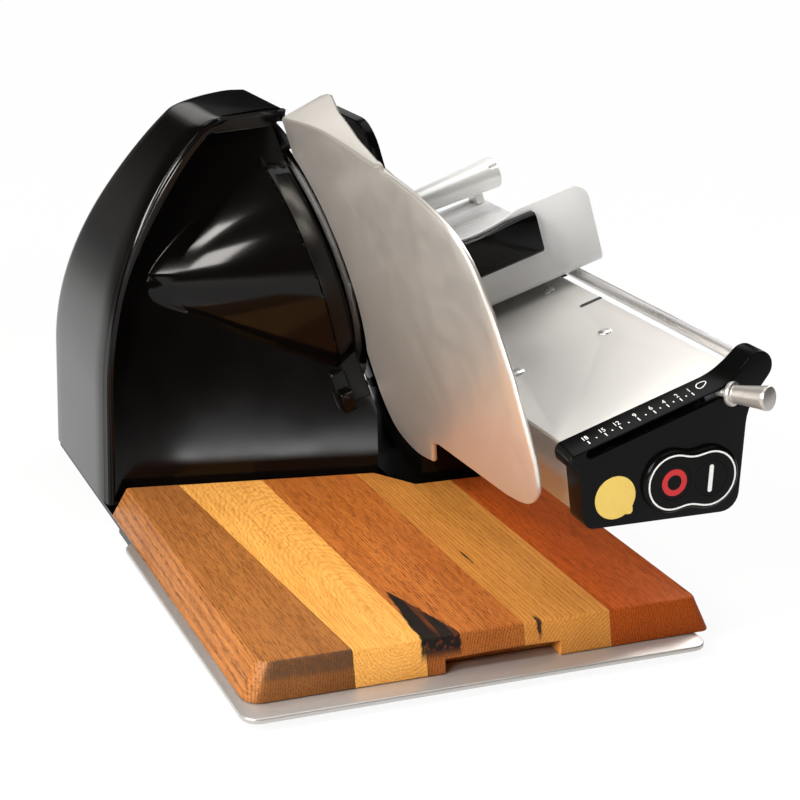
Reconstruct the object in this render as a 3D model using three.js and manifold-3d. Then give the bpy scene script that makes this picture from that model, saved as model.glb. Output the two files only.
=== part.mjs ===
// Gravity-feed food slicer with a wooden landing board on its tray.
// Millimetres, +Z up: X runs to the carriage side, Y to the back, and the floor is Z = 0.
// While the pieces are made, x = 0 is the left wall of the motor housing and y = 0 the front
// edge of the tray. The finished group is then centred over its footprint.
// Blade, gauge plate, deck and carriage lean by TILT. They are made in a leaning frame whose
// axes are c (square to the blade, right and up), y (to the back) and v (up along the blade).
import * as THREE from 'three';
import { mergeVertices } from 'three/addons/utils/BufferGeometryUtils.js';
import Module from 'manifold-3d';

const wasm = await Module();
wasm.setup();

// Fits and lean
const FIT = 0.3; // gap between pieces that touch
const RUN = 0.3; // radial clearance of sliding and turning fits
const TILT = 18.75; // degrees

// Feet, tray and base
const FOOT_HEIGHT = 6;
const FOOT_RADIUS = 12;
const FOOT_INSET = 32;
const TRAY_LEFT = -2;
const TRAY_WIDTH = 354;
const TRAY_DEPTH = 310;
const TRAY_THICKNESS = 4;
const TRAY_CORNER = 12;
const BASE_MARGIN = 6; // base plate inside the housing's foot
const BASE_LIP_DEPTH = 40; // lip of the base that reaches under the tray
const BASE_LIP_THICKNESS = 3;

// Landing board
const BOARD_LEFT = 4.5;
const BOARD_OVERHANG = 6; // how much wider the board is than the tray
const BOARD_WIDTH = TRAY_WIDTH + BOARD_OVERHANG;
const BOARD_FRONT = 19;
const BOARD_THICKNESS = 26;
const BOARD_SIDE_SLOPE = 11; // how far the sides lean in over the thickness
const BOARD_FRONT_SLOPE = 7;
const BOARD_CORNER = 13;
const BOARD_CORNER_RIGHT = 7;
const BOARD_BACK_GAP = 3; // to the housing and the pedestal
const STAVE_JOINTS_BACK = [57, 127, 208, 279];
const STAVE_JOINTS_FRONT = [84, 137, 212, 281];
const NOTCH_LEFT = 150;
const NOTCH_WIDTH = 90;
const NOTCH_HEIGHT = 10;
const NOTCH_DEPTH = 16;

// Blade and its drive, in the leaning frame
const BLADE_RADIUS = 125;
const BLADE_LEFT = 253.5; // c of the face on the slice side
const BLADE_THICKNESS = 4;
const BLADE_EDGE = 0.8;
const BLADE_BEVEL = 24;
const BLADE_SETBACK = 159; // from the tray's back edge to the blade axis
const BLADE_Y = TRAY_DEPTH + BLADE_SETBACK;
const BLADE_V = 122;
const BLADE_HOLE = 14;
const COVER_RADIUS = 88;
const COVER_THICKNESS = 2.5;
const COVER_SCREW_RADIUS = 4;
const COVER_SCREW_CIRCLE = 40;
const COVER_SCREW_HEIGHT = 1.4;
const HUB_RADIUS = 30;
const HUB_THICKNESS = 6;
const SHAFT_RADIUS = 8;
const SHAFT_LENGTH = 68;
const BEARING_RADIUS = 16;
const BEARING_WIDTH = 10;
const BEARING_PITCH = 20;
const BEARING_BLOCK_RADIUS = 24;
const BEARING_FLANGE_RADIUS = 48;
const BEARING_FLANGE_THICKNESS = 6;
const BLADE_PULLEY_RADIUS = 52;
const MOTOR_PULLEY_RADIUS = 14;
const PULLEY_WIDTH = 14;
const PULLEY_LEFT = 186;
const BELT_THICKNESS = 3;
const MOTOR_DROP = 88; // from the blade axis down to the motor axis
const MOTOR_RADIUS = 38;
const MOTOR_LENGTH = 88;
const MOTOR_SHAFT_RADIUS = 5;
const MOTOR_SHAFT_DEPTH = 40; // shaft inside the motor
const MOTOR_BRACKET_THICKNESS = 4;
const MOTOR_BRACKET_WIDTH = 92;
const GUARD_GAP = 2.5; // from the blade edge to the ring guard
const GUARD_WALL = 5.5;
const GUARD_DEPTH = 11.5;
const GUARD_START = -30; // degrees from the top, to the back positive
const GUARD_END = 212;

// Motor housing
const HOUSING_TOP = 336;
const HOUSING_STRAIGHT = 110; // height of the upright part of the left wall
const SHOULDER_WIDTH = 89; // how far the left wall leans in at the top
const SHOULDER_ROUNDNESS = 0.87;
const HOUSING_FOOT_WIDTH = 234;
const HOUSING_REACH = 97; // from the blade axis to the housing's back, and to its rim
const HOUSING_BACK = BLADE_Y + HOUSING_REACH;
const HOUSING_WALL = 3;
const HOUSING_BLADE_GAP = 4.5; // from the right wall to the blade
const RIM_FRONT = BLADE_Y - HOUSING_REACH;
const RIM_WIDTH = 10;
const RIM_TOP = 14;
const BROW_WIDTH = 10; // eave along the top of the right wall, over the ring guard
const BROW_HEIGHT = 10;
const RIM_GAUGE_GAP = 9; // from the rim's right end to the gauge plate's back edge
const BACK_ROUND_LOW = 28;
const BACK_ROUND_HIGH = 54;
const BACK_LEAN = 48; // how far the back leans in at the top
const BACK_FLATNESS = 0.7; // 0 keeps the back corner round, 1 makes it a straight chamfer at the top
const FRONT_WALL_DEPTH = 5; // behind the rim's foot
const FRONT_WALL_Y = RIM_FRONT + FRONT_WALL_DEPTH; // the sunken front wall is y = Y - TURN x + LEAN z
const FRONT_WALL_TURN = 0.149;
const FRONT_WALL_LEAN = 0.164;
const CONE_TIP_C = 106; // tip of the cone on the front wall
const CONE_TIP_AHEAD = 53; // from the blade axis to the tip's axis
const CONE_TIP_Y = BLADE_Y - CONE_TIP_AHEAD;
const CONE_TIP_V = 166;
const CONE_TIP_RADIUS = 9;
const CONE_RADIUS = 125;
const CONE_SWELL = 0.85;
const DEFLECTOR_WIDTH = 18;
const DEFLECTOR_WALL = 4;
const DEFLECTOR_LOW = -40; // degrees from the front, up positive
const DEFLECTOR_HIGH = 68;
const CATCH_WIDTH = 12;
const CATCH_HEIGHT = 18;
const CATCH_LENGTH = 20;
const INLET_RADIUS = 9;
const INLET_BORE = 4;
const INLET_LENGTH = 10;
const INLET_X = 120;
const INLET_Z = 46;

// Arm, deck, rod and pedestal
const DECK_LEFT = 284;
const DECK_WIDTH = 140.5;
const DECK_V = 72; // top of the deck
const DECK_THICKNESS = 2;
const DECK_FRONT = 47.5;
const DECK_SLOT_Y = 238;
const DECK_SLOT_WIDTH = 4;
const DECK_SLOT_LENGTH = 20;
const RIVET_RADIUS = 5.5;
const RIVET_HEIGHT = 2.6;
const RIVET_SHANK = 2.4;
const RIVET_PLACES = [[30, 130], [109.5, 132], [31, 244.5], [119.5, 244.5]]; // from the deck's corner
const ARM_WALL = 3;
const ARM_BOTTOM = 101; // height of the arm's underside
const ARM_RIGHT = 372;
const ARM_CHAMFER = 10;
const END_CAP_THICKNESS = 11;
const ROD_RADIUS = 5;
const ROD_C = 434;
const ROD_V = 74;
const ROD_BOSS_RADIUS = 12;
const ROD_REAR_BOSS_RADIUS = 8; // stays under the food table
const ROD_SEAT = 12; // depth of the rod in the control panel
const PEDESTAL_LEFT = 258;
const PEDESTAL_WIDTH = 84;
const PEDESTAL_LAP = 1; // over the tray's back edge
const PEDESTAL_FRONT = TRAY_DEPTH - PEDESTAL_LAP;
const PEDESTAL_DEPTH = 110;
const SHIELD_LEFT = 265; // shield on the pedestal beside the lower blade
const SHIELD_WIDTH = 17;
const SHIELD_LENGTH = 34;
const SHIELD_TOP = 56;
const SHIELD_BOTTOM = -25;

// Control panel, switch and thickness lever
const PANEL_DEPTH = 20.7;
const PANEL_FACE = 4;
const PANEL_WALL = 3;
const PANEL_LEFT = 276;
const PANEL_RISE = 3; // top of the panel over the deck
const PANEL_RIGHT = 382;
const PANEL_CORNER = 14;
const SWITCH_X = 338;
const SWITCH_Z = 131;
const BUTTON_PITCH = 30;
const BUTTON_RADIUS = 13.5;
const BUTTON_TRAVEL = 1.5;
const BUTTON_PROUD = 1.2;
const BUTTON_STEM = 3.5;
const BEZEL_RADIUS = 25;
const BEZEL_HEIGHT = 4.7;
const SWITCH_BODY_WIDTH = 54;
const SWITCH_BODY_HEIGHT = 36;
const SWITCH_BODY_DEPTH = 16;
const LEVER_TRAVEL = 104;
const LEVER_C = 401; // lever at rest, at the panel's face
const LEVER_V = 67;
const LEVER_TURN = 25; // degrees from straight forward, to the right
const LEVER_NECK = 2.8;
const LEVER_SHAFT = 6.5;
const LEVER_END = 9;
const LEVER_LENGTH = 33;
const LEVER_COLLAR = 4;
const LEVER_STANDOFF = 10;
const SLOT_HEIGHT = 7;
const SLIDER_WIDTH = 22;
const SLIDER_HEIGHT = 9;
const SLIDER_DEPTH = 10;

// Gauge plate
const GAUGE_LEFT = 255;
const GAUGE_THICKNESS = 4.5;
const GAUGE_FRONT = 38;
const GAUGE_BLADE_LAP = 52; // how far the back edge reaches past the blade's front
const GAUGE_BACK = BLADE_Y - BLADE_RADIUS + GAUGE_BLADE_LAP;
const GAUGE_TOP = 270;
const GAUGE_BOTTOM = 14;
const GAUGE_BLADE_GAP = 4.5;
const TAB_BOTTOM = -19;
const TAB_AHEAD = 146; // from the back edge to the tab's front
const TAB_FRONT = GAUGE_BACK - TAB_AHEAD;
const WING_WIDTH = 45;
const WING_RISE = 0.15; // slope of the wing across the plate
const WING_LENGTH = 210;
const WING_THICKNESS = 4;
const GAUGE_ROD_RADIUS = 6;
const GAUGE_ROD_LENGTH = 42;
const GAUGE_ROD_Y = TAB_FRONT + TAB_AHEAD / 2;
const GAUGE_ROD_V = -5;

// Carriage and pusher, in the leaning frame
const TABLE_LEFT = 264;
const TABLE_WIDTH = 189;
const TABLE_AHEAD = 189; // from the blade axis to the table's front wall
const TABLE_FRONT = BLADE_Y - TABLE_AHEAD;
const TABLE_LENGTH = 245;
const TABLE_V = 85.3;
const TABLE_THICKNESS = 2.5;
const WALL_TOP = 155;
const WALL_DIP = 6; // hollow in the wall's top edge, over the grip
const WALL_DIP_LENGTH = 84;
const WALL_BEND = 8;
const WALL_CORNER = 15;
const GRIP_LEFT = 318;
const GRIP_WIDTH = 82;
const GRIP_BOTTOM = 115;
const GRIP_DEPTH = 9;
const GRIP_EDGE = 5; // from the grip up to the top of the wall
const GRIP_DIP_EDGE = 1.5; // the same in the hollow
const GRIP_CHAMFER = 2.5;
const BLOCK_FRONT = TABLE_FRONT + 50;
const BLOCK_LENGTH = 70;
const BLOCK_WIDTH = 21.5;
const BLOCK_DROP = 22;
const SHOE_LEFT = 292;
const SHOE_WIDTH = 12;
const RAIL_RADIUS = 6;
const RAIL_Y = BLADE_Y + 43;
const RAIL_V = 102;
const POST_WIDTH = 8;
const POST_DEPTH = 20;
const POST_WALL = 3.5;
const PRESS_LEFT = 309;
const PRESS_THICKNESS = 8;
const PRESS_AHEAD = 112; // from the blade axis to the plate's front edge
const PRESS_FRONT = BLADE_Y - PRESS_AHEAD;
const PRESS_TOP = 244;
const PRESS_BOTTOM = 90;
const PRESS_BACK = BLADE_Y + 29;
const PRESS_ROUND = 44;
const EAR_WALL = 7;
const SLEEVE_LENGTH = 30;
const SLEEVE_WALL = 4.5;
const HANDLE_Y = BLADE_Y + 1;
const HANDLE_V = 122;
const HANDLE_LENGTH = 137;
const HANDLE_ROOT = 10.3;
const HANDLE_TIP = 14.5;

// Places worked out from the driving dimensions
const lean = THREE.MathUtils.degToRad(TILT);
const COS = Math.cos(lean);
const SIN = Math.sin(lean);
const LEANING = new THREE.Matrix4().makeRotationY(-lean);
const FLOOR_TOP = FOOT_HEIGHT + TRAY_THICKNESS; // top of the tray and of the base plate
const BOARD_BOTTOM = FLOOR_TOP + FIT;
const BOARD_TOP = BOARD_BOTTOM + BOARD_THICKNESS;
const HOUSING_BOTTOM = FLOOR_TOP + FIT;
const HOUSING_C = BLADE_LEFT - HOUSING_BLADE_GAP; // right wall of the housing
const BLADE_RIGHT = BLADE_LEFT + BLADE_THICKNESS;
const MOTOR_V = BLADE_V - MOTOR_DROP;
const DECK_RIGHT = DECK_LEFT + DECK_WIDTH;
const DECK_BACK = PEDESTAL_FRONT + PEDESTAL_DEPTH + FIT;
const DECK_UNDER = DECK_V - DECK_THICKNESS;
const PANEL_BACK = DECK_FRONT - FIT;
const PANEL_FRONT = PANEL_BACK - PANEL_DEPTH;
const TABLE_RIGHT = TABLE_LEFT + TABLE_WIDTH;
const TABLE_BACK = TABLE_FRONT + TABLE_LENGTH;
const TABLE_UNDER = TABLE_V - TABLE_THICKNESS;
const PRESS_RIGHT = PRESS_LEFT + PRESS_THICKNESS;

const worldX = (c, v) => c * COS - v * SIN;
const worldZ = (c, v) => c * SIN + v * COS;
const leaningPoint = (c, v) => [worldX(c, v), worldZ(c, v)];
const frontWall = (x, z) => FRONT_WALL_Y - FRONT_WALL_TURN * x + FRONT_WALL_LEAN * z;

// Finishes
function finish(color, roughness, metalness) {
  return new THREE.MeshStandardMaterial({ color, roughness, metalness });
}
const blackLacquer = finish(0x0b0a0a, 0.12, 0.0);
const blackPlastic = finish(0x111112, 0.35, 0.0);
const rubber = finish(0x1c1c1c, 0.9, 0.0);
const satinAluminium = finish(0xb9b5ae, 0.38, 1.0);
const brushedSteel = finish(0xa9a29a, 0.32, 1.0);
const polishedSteel = finish(0xc8c8c8, 0.12, 1.0);
const darkSteel = finish(0x55555a, 0.45, 0.9);
const brass = finish(0xb08d4a, 0.35, 0.9);
const redOak = finish(0x9c5529, 0.55, 0.0);
const paleOak = finish(0xd6a860, 0.55, 0.0);

// Solids: closed meshes in, closed meshes out
function weld(geometry) {
  const bare = geometry.clone();
  bare.deleteAttribute('normal');
  bare.deleteAttribute('uv');
  const merged = mergeVertices(bare, 1e-4);
  const source = merged.index.array;
  const kept = [];
  for (let i = 0; i < source.length; i += 3) {
    const [a, b, c] = [source[i], source[i + 1], source[i + 2]];
    if (a !== b && b !== c && c !== a) kept.push(a, b, c);
  }
  merged.setIndex(kept);
  return merged;
}

function toManifold(geometry) {
  const welded = geometry.userData.closed ? geometry : weld(geometry);
  return new wasm.Manifold(new wasm.Mesh({
    numProp: 3,
    vertProperties: new Float32Array(welded.attributes.position.array),
    triVerts: new Uint32Array(welded.index.array),
  }));
}

function fromManifold(manifold) {
  const mesh = manifold.getMesh();
  const geometry = new THREE.BufferGeometry();
  geometry.setAttribute('position', new THREE.BufferAttribute(new Float32Array(mesh.vertProperties), 3));
  geometry.setIndex(new THREE.BufferAttribute(new Uint32Array(mesh.triVerts), 1));
  geometry.computeVertexNormals();
  geometry.userData.closed = true;
  return geometry;
}

function combine(method, first, others) {
  let result = toManifold(first);
  for (const other of others) result = result[method](toManifold(other));
  return fromManifold(result);
}

const join = (first, ...others) => combine('add', first, others);
const cut = (first, ...others) => combine('subtract', first, others);
const keep = (first, ...others) => combine('intersect', first, others);

// A flat outline pushed along an axis. Points are (x, y), (x, z) or (y, z), in that order.
const FRAMES = {
  x: new THREE.Matrix4().set(0, 0, 1, 0, 1, 0, 0, 0, 0, 1, 0, 0, 0, 0, 0, 1),
  y: new THREE.Matrix4().set(0, 1, 0, 0, 0, 0, 1, 0, 1, 0, 0, 0, 0, 0, 0, 1),
  z: new THREE.Matrix4(),
};

function prism(axis, outline, from, to, curveSegments = 12) {
  let shape = outline;
  if (Array.isArray(outline)) {
    const swapped = axis === 'y';
    shape = new THREE.Shape(outline.map(([a, b]) => new THREE.Vector2(swapped ? b : a, swapped ? a : b)));
  }
  const geometry = new THREE.ExtrudeGeometry(shape, { depth: to - from, bevelEnabled: false, curveSegments });
  geometry.translate(0, 0, from);
  return geometry.applyMatrix4(FRAMES[axis]);
}

function box(low, high) {
  const size = high.map((value, i) => value - low[i]);
  const centre = high.map((value, i) => (value + low[i]) / 2);
  return new THREE.BoxGeometry(...size).translate(...centre);
}

// A round bar along an axis, from one place on it to another.
function bar(axis, radius, from, to, across, segments = 20) {
  const geometry = new THREE.CylinderGeometry(radius, radius, to - from, segments);
  const middle = (from + to) / 2;
  if (axis === 'x') return geometry.rotateZ(-Math.PI / 2).translate(middle, across[0], across[1]);
  if (axis === 'y') return geometry.translate(across[0], middle, across[1]);
  return geometry.rotateX(Math.PI / 2).translate(across[0], across[1], middle);
}

// A turned piece: profile points are (radius, place along the axis), listed anticlockwise.
function turned(axis, profile, across, segments = 28) {
  const points = profile.map(([radius, along]) => new THREE.Vector2(radius, along));
  const onAxis = profile[0][0] === 0 && profile[profile.length - 1][0] === 0;
  if (!onAxis) points.push(points[0].clone());
  const geometry = new THREE.LatheGeometry(points, segments);
  if (axis === 'x') return geometry.rotateZ(-Math.PI / 2).translate(0, across[0], across[1]);
  if (axis === 'y') return geometry.translate(across[0], 0, across[1]);
  return geometry.rotateX(Math.PI / 2).translate(across[0], across[1], 0);
}

const ring = (axis, inner, outer, from, to, across, segments = 28) => turned(
  axis,
  [[inner, from], [outer, from], [outer, to], [inner, to]],
  across,
  segments,
);

// A skin over rings of points, one ring above the other, with flat ends.
function loft(rings) {
  const count = rings[0].length;
  const position = rings.flat().flatMap((point) => [point.x, point.y, point.z]);
  const index = [];
  for (let level = 0; level < rings.length - 1; level += 1) {
    for (let i = 0; i < count; i += 1) {
      const next = (i + 1) % count;
      const low = level * count;
      const high = low + count;
      index.push(low + i, low + next, high + next, low + i, high + next, high + i);
    }
  }
  const last = (rings.length - 1) * count;
  const axis = new THREE.Vector3().subVectors(rings[1][0], rings[0][0]);
  const flat = (point) => (Math.abs(axis.z) > Math.abs(axis.x)
    ? new THREE.Vector2(point.x, point.y)
    : new THREE.Vector2(point.y, point.z));
  const triangles = (outline) => THREE.ShapeUtils.triangulateShape(outline.map(flat), []);
  for (const [a, b, c] of triangles(rings[0])) index.push(a, c, b);
  for (const [a, b, c] of triangles(rings[rings.length - 1])) index.push(last + a, last + b, last + c);
  const geometry = new THREE.BufferGeometry();
  geometry.setAttribute('position', new THREE.BufferAttribute(new Float32Array(position), 3));
  geometry.setIndex(index);
  return geometry;
}

// A rectangle with round corners, as outline points.
function roundedRectangle(left, low, width, height, radius, steps = 4) {
  const corners = [
    [left + width - radius, low + radius, -90],
    [left + width - radius, low + height - radius, 0],
    [left + radius, low + height - radius, 90],
    [left + radius, low + radius, 180],
  ];
  return corners.flatMap(([x, y, start]) => arcPoints(x, y, radius, start, start + 90, steps));
}

function arcPoints(x, y, radius, start, end, steps) {
  const points = [];
  for (let i = 0; i <= steps; i += 1) {
    const angle = THREE.MathUtils.degToRad(start + ((end - start) * i) / steps);
    points.push([x + radius * Math.cos(angle), y + radius * Math.sin(angle)]);
  }
  return points;
}

// The part's groups
const slicer = new THREE.Group();
const leaning = new THREE.Group();
leaning.rotation.y = -lean;
slicer.add(leaning);

function add(group, name, geometry, material) {
  const mesh = new THREE.Mesh(geometry, material);
  mesh.name = name;
  group.add(mesh);
}

// Feet, tray and base plate
const TRAY_RIGHT = TRAY_LEFT + TRAY_WIDTH;
const BASE_RIGHT = PEDESTAL_LEFT + PEDESTAL_WIDTH;
const BASE_BACK = HOUSING_BACK - BASE_MARGIN;
const FOOT_PLACES = {
  foot_front_left: [TRAY_LEFT + FOOT_INSET, FOOT_INSET],
  foot_front_right: [TRAY_RIGHT - FOOT_INSET, FOOT_INSET],
  foot_rear_left: [BASE_MARGIN + FOOT_INSET, BASE_BACK - FOOT_INSET],
  foot_rear_right: [BASE_RIGHT - FOOT_INSET, BASE_BACK - FOOT_INSET],
};
for (const [name, place] of Object.entries(FOOT_PLACES)) {
  add(slicer, name, bar('z', FOOT_RADIUS, 0, FOOT_HEIGHT - FIT, place), rubber);
}
const trayOutline = roundedRectangle(TRAY_LEFT, 0, TRAY_WIDTH, TRAY_DEPTH, TRAY_CORNER);
add(slicer, 'tray', prism('z', trayOutline, FOOT_HEIGHT, FLOOR_TOP), satinAluminium);

const LIP_TOP = FOOT_HEIGHT - FIT;
add(slicer, 'base_plate', join(
  box([BASE_MARGIN, TRAY_DEPTH + FIT, FOOT_HEIGHT], [BASE_RIGHT, BASE_BACK, FLOOR_TOP]),
  box(
    [BASE_MARGIN, TRAY_DEPTH - BASE_LIP_DEPTH, LIP_TOP - BASE_LIP_THICKNESS],
    [BASE_RIGHT, TRAY_DEPTH + BASE_LIP_DEPTH, LIP_TOP],
  ),
  box(
    [BASE_MARGIN, TRAY_DEPTH + FIT, LIP_TOP - BASE_LIP_THICKNESS],
    [BASE_RIGHT, TRAY_DEPTH + BASE_LIP_DEPTH, FLOOR_TOP],
  ),
), blackPlastic);

// Landing board: five staves of a tapered slab, with a finger notch under the front edge
function boardRing(inset, frontInset, z) {
  const left = BOARD_LEFT + inset;
  const right = BOARD_LEFT + BOARD_WIDTH - inset;
  const front = BOARD_FRONT + frontInset;
  const wallAt = (x) => Math.min(RIM_FRONT, frontWall(x, HOUSING_BOTTOM)) - BOARD_BACK_GAP - frontInset;
  const stepX = HOUSING_FOOT_WIDTH - BOARD_BACK_GAP;
  const stepBack = PEDESTAL_FRONT - BOARD_BACK_GAP - frontInset;
  const outline = [
    ...arcPoints(right - BOARD_CORNER_RIGHT, front + BOARD_CORNER_RIGHT, BOARD_CORNER_RIGHT, -90, 0, 4),
    [right, stepBack],
    [PEDESTAL_LEFT - BOARD_BACK_GAP - frontInset, stepBack],
    [stepX - frontInset, wallAt(stepX)],
    [left, wallAt(left)],
    ...arcPoints(left + BOARD_CORNER, front + BOARD_CORNER, BOARD_CORNER, 180, 270, 4),
  ];
  return outline.map(([x, y]) => new THREE.Vector3(x, y, z));
}

const board = cut(
  loft([boardRing(0, 0, BOARD_BOTTOM), boardRing(BOARD_SIDE_SLOPE, BOARD_FRONT_SLOPE, BOARD_TOP)]),
  prism('z', [
    [NOTCH_LEFT, BOARD_FRONT - NOTCH_DEPTH],
    [NOTCH_LEFT + NOTCH_WIDTH, BOARD_FRONT - NOTCH_DEPTH],
    [NOTCH_LEFT + NOTCH_WIDTH, BOARD_FRONT + NOTCH_DEPTH],
    [NOTCH_LEFT, BOARD_FRONT + NOTCH_DEPTH],
  ], BOARD_BOTTOM - NOTCH_HEIGHT, BOARD_BOTTOM + NOTCH_HEIGHT),
);
const BOARD_BACK = RIM_FRONT;
const boardEdge = (side) => BOARD_LEFT + (side ? 2 * BOARD_WIDTH : -BOARD_WIDTH);
for (let stave = 0; stave <= STAVE_JOINTS_BACK.length; stave += 1) {
  const side = (joints, i, gap) => (i < 0 || i >= joints.length ? boardEdge(i >= 0) : joints[i] + gap);
  const slab = prism('z', [
    [side(STAVE_JOINTS_FRONT, stave - 1, FIT / 2), BOARD_FRONT - NOTCH_DEPTH],
    [side(STAVE_JOINTS_FRONT, stave, -FIT / 2), BOARD_FRONT - NOTCH_DEPTH],
    [side(STAVE_JOINTS_BACK, stave, -FIT / 2), BOARD_BACK],
    [side(STAVE_JOINTS_BACK, stave - 1, FIT / 2), BOARD_BACK],
  ], BOARD_BOTTOM - NOTCH_HEIGHT, BOARD_TOP + NOTCH_HEIGHT);
  add(slicer, `board_stave_${stave + 1}`, keep(board, slab), stave % 2 ? paleOak : redOak);
}

// Motor housing: a shouldered shell with a sunken, leaning front wall and a cone on it
const HOUSING_LEVELS = 14;
const smooth = (s) => s * s * (3 - 2 * s);
function leftWall(z) {
  const rise = Math.max(0, (z - HOUSING_STRAIGHT) / (HOUSING_TOP - HOUSING_STRAIGHT));
  const arc = (s) => 1 - Math.sqrt(1 - (SHOULDER_ROUNDNESS * s) ** 2);
  return (SHOULDER_WIDTH * arc(Math.min(rise, 1))) / arc(1);
}
const rightWall = (z) => Math.min(HOUSING_FOOT_WIDTH, (HOUSING_C - z * SIN) / COS);
function backRise(z) {
  const rise = Math.max(0, (z - HOUSING_STRAIGHT) / (HOUSING_TOP - HOUSING_STRAIGHT));
  return smooth(Math.min(rise, 1));
}
const backRound = (z) => BACK_ROUND_LOW + (BACK_ROUND_HIGH - BACK_ROUND_LOW) * backRise(z);
const backWall = (z) => HOUSING_BACK - BACK_LEAN * backRise(z);

// One level of the housing. The shell's inside takes its left and back walls from higher up,
// so that the wall keeps its thickness where it leans in.
function housingRing(z, inset, frontLeft, frontRight) {
  const level = Math.max(z, HOUSING_BOTTOM);
  const above = Math.min(level + 4 * inset, HOUSING_TOP);
  const left = leftWall(above) + inset;
  const right = rightWall(level) - inset / COS;
  const back = backWall(above) - inset;
  const reach = Math.min(backRound(above), 0.9 * (back - frontLeft(left, level)));
  const across = Math.min(reach, 0.9 * (right - left));
  const bluntness = 1 + BACK_FLATNESS * backRise(above) ** 3;
  const steps = 6;
  const outline = [[left, frontLeft(left, level)], [right, frontRight(right, level)], [right, back]];
  for (let i = 0; i <= steps; i += 1) {
    const angle = ((Math.PI / 2) * i) / steps;
    outline.push([
      left + across * (1 - Math.sin(angle) ** bluntness),
      back - reach * (1 - Math.abs(Math.cos(angle)) ** bluntness),
    ]);
  }
  return outline.map(([x, y]) => new THREE.Vector3(x, y, z));
}

function housingLoft(bottom, top, inset, frontLeft, frontRight) {
  const rings = [];
  for (let level = 0; level <= HOUSING_LEVELS; level += 1) {
    const z = bottom + ((top - bottom) * level) / HOUSING_LEVELS;
    rings.push(housingRing(z, inset, frontLeft, frontRight));
  }
  return loft(rings);
}

const outerFront = {
  left: () => RIM_FRONT,
  right: (x, z) => Math.min(frontWall(x, z), GAUGE_BACK + RIM_GAUGE_GAP),
};
const innerFront = (x, z) => frontWall(x, z) + HOUSING_WALL;
const housingHull = housingLoft(HOUSING_BOTTOM, HOUSING_TOP, 0, outerFront.left, outerFront.right);
const OVERSHOOT = 20; // how far cutters run past what they cut
const housingHollow = housingLoft(
  HOUSING_BOTTOM - HOUSING_WALL,
  HOUSING_TOP - HOUSING_WALL,
  HOUSING_WALL,
  innerFront,
  innerFront,
);

function frontPocket() {
  const rings = [];
  const low = HOUSING_BOTTOM - OVERSHOOT;
  const high = HOUSING_TOP - RIM_TOP;
  for (let level = 0; level <= HOUSING_LEVELS; level += 1) {
    const z = low + ((high - low) * level) / HOUSING_LEVELS;
    const left = leftWall(z) + RIM_WIDTH;
    const right = HOUSING_FOOT_WIDTH + OVERSHOOT;
    const front = RIM_FRONT - BLADE_RADIUS;
    const outline = [[left, front], [right, front], [right, frontWall(right, z)], [left, frontWall(left, z)]];
    rings.push(outline.map(([x, y]) => new THREE.Vector3(x, y, z)));
  }
  return loft(rings);
}

// The cone on the front wall grows from a blunt tip to a round end beside the blade.
const CONE_END_C = HOUSING_C - DEFLECTOR_WIDTH - 2 * FIT;
const CONE_NECK = CONE_RADIUS - DEFLECTOR_WALL;
function coneSolid(inset) {
  const rings = [];
  const steps = 8;
  const circle = (c, y, v, radius) => {
    const points = [];
    const segments = 40;
    for (let i = 0; i < segments; i += 1) {
      const angle = (2 * Math.PI * i) / segments;
      points.push(new THREE.Vector3(c, y + radius * Math.cos(angle), v + radius * Math.sin(angle)));
    }
    return points;
  };
  for (let i = 0; i <= steps; i += 1) {
    const s = i / steps;
    const c = CONE_TIP_C + inset + (CONE_END_C - CONE_TIP_C - 2 * inset) * s;
    const y = CONE_TIP_Y + (BLADE_Y - CONE_TIP_Y) * s;
    const v = CONE_TIP_V + (BLADE_V - CONE_TIP_V) * s;
    const radius = CONE_TIP_RADIUS + (CONE_RADIUS - CONE_TIP_RADIUS) * s ** CONE_SWELL;
    rings.push(circle(c, y, v, radius - inset));
  }
  rings.push(circle(CONE_END_C + FIT - inset, BLADE_Y, BLADE_V, CONE_NECK - FIT - inset));
  rings.push(circle(HOUSING_C - inset, BLADE_Y, BLADE_V, CONE_NECK - FIT - inset));
  const behind = box(
    [CONE_TIP_C - BLADE_RADIUS, BLADE_Y, BLADE_V - 2 * BLADE_RADIUS],
    [HOUSING_C + BLADE_RADIUS, BLADE_Y + 2 * BLADE_RADIUS, BLADE_V + 2 * BLADE_RADIUS],
  );
  return cut(loft(rings), behind).applyMatrix4(LEANING);
}

const hubHole = bar(
  'x',
  HUB_RADIUS + HUB_THICKNESS,
  HOUSING_C - OVERSHOOT / 2,
  HOUSING_C + OVERSHOOT,
  [BLADE_Y, BLADE_V],
).applyMatrix4(LEANING);
const inletHole = bar(
  'y',
  INLET_BORE,
  HOUSING_BACK - OVERSHOOT,
  HOUSING_BACK + OVERSHOOT,
  [INLET_X, INLET_Z],
  12,
);
const brow = box(
  [rightWall(HOUSING_TOP) - HOUSING_WALL, GAUGE_BACK + RIM_GAUGE_GAP, HOUSING_TOP - BROW_HEIGHT],
  [rightWall(HOUSING_TOP) + BROW_WIDTH, backWall(HOUSING_TOP), HOUSING_TOP],
);
const housing = cut(
  join(cut(housingHull, frontPocket()), coneSolid(0), brow),
  housingHollow,
  coneSolid(HOUSING_WALL),
  hubHole,
  inletHole,
);
add(slicer, 'housing', housing, blackLacquer);

add(slicer, 'cord_inlet', ring(
  'y',
  INLET_BORE,
  INLET_RADIUS,
  HOUSING_BACK + FIT,
  HOUSING_BACK + INLET_LENGTH,
  [INLET_X, INLET_Z],
  16,
), blackPlastic);

// Slice deflector: a tapering lip round the end of the cone, cut off at the front wall
function sector(inner, outer, start, end, steps) {
  return [
    ...arcPoints(BLADE_Y, BLADE_V, outer, start, end, steps),
    ...arcPoints(BLADE_Y, BLADE_V, inner, end, start, steps),
  ];
}

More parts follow.
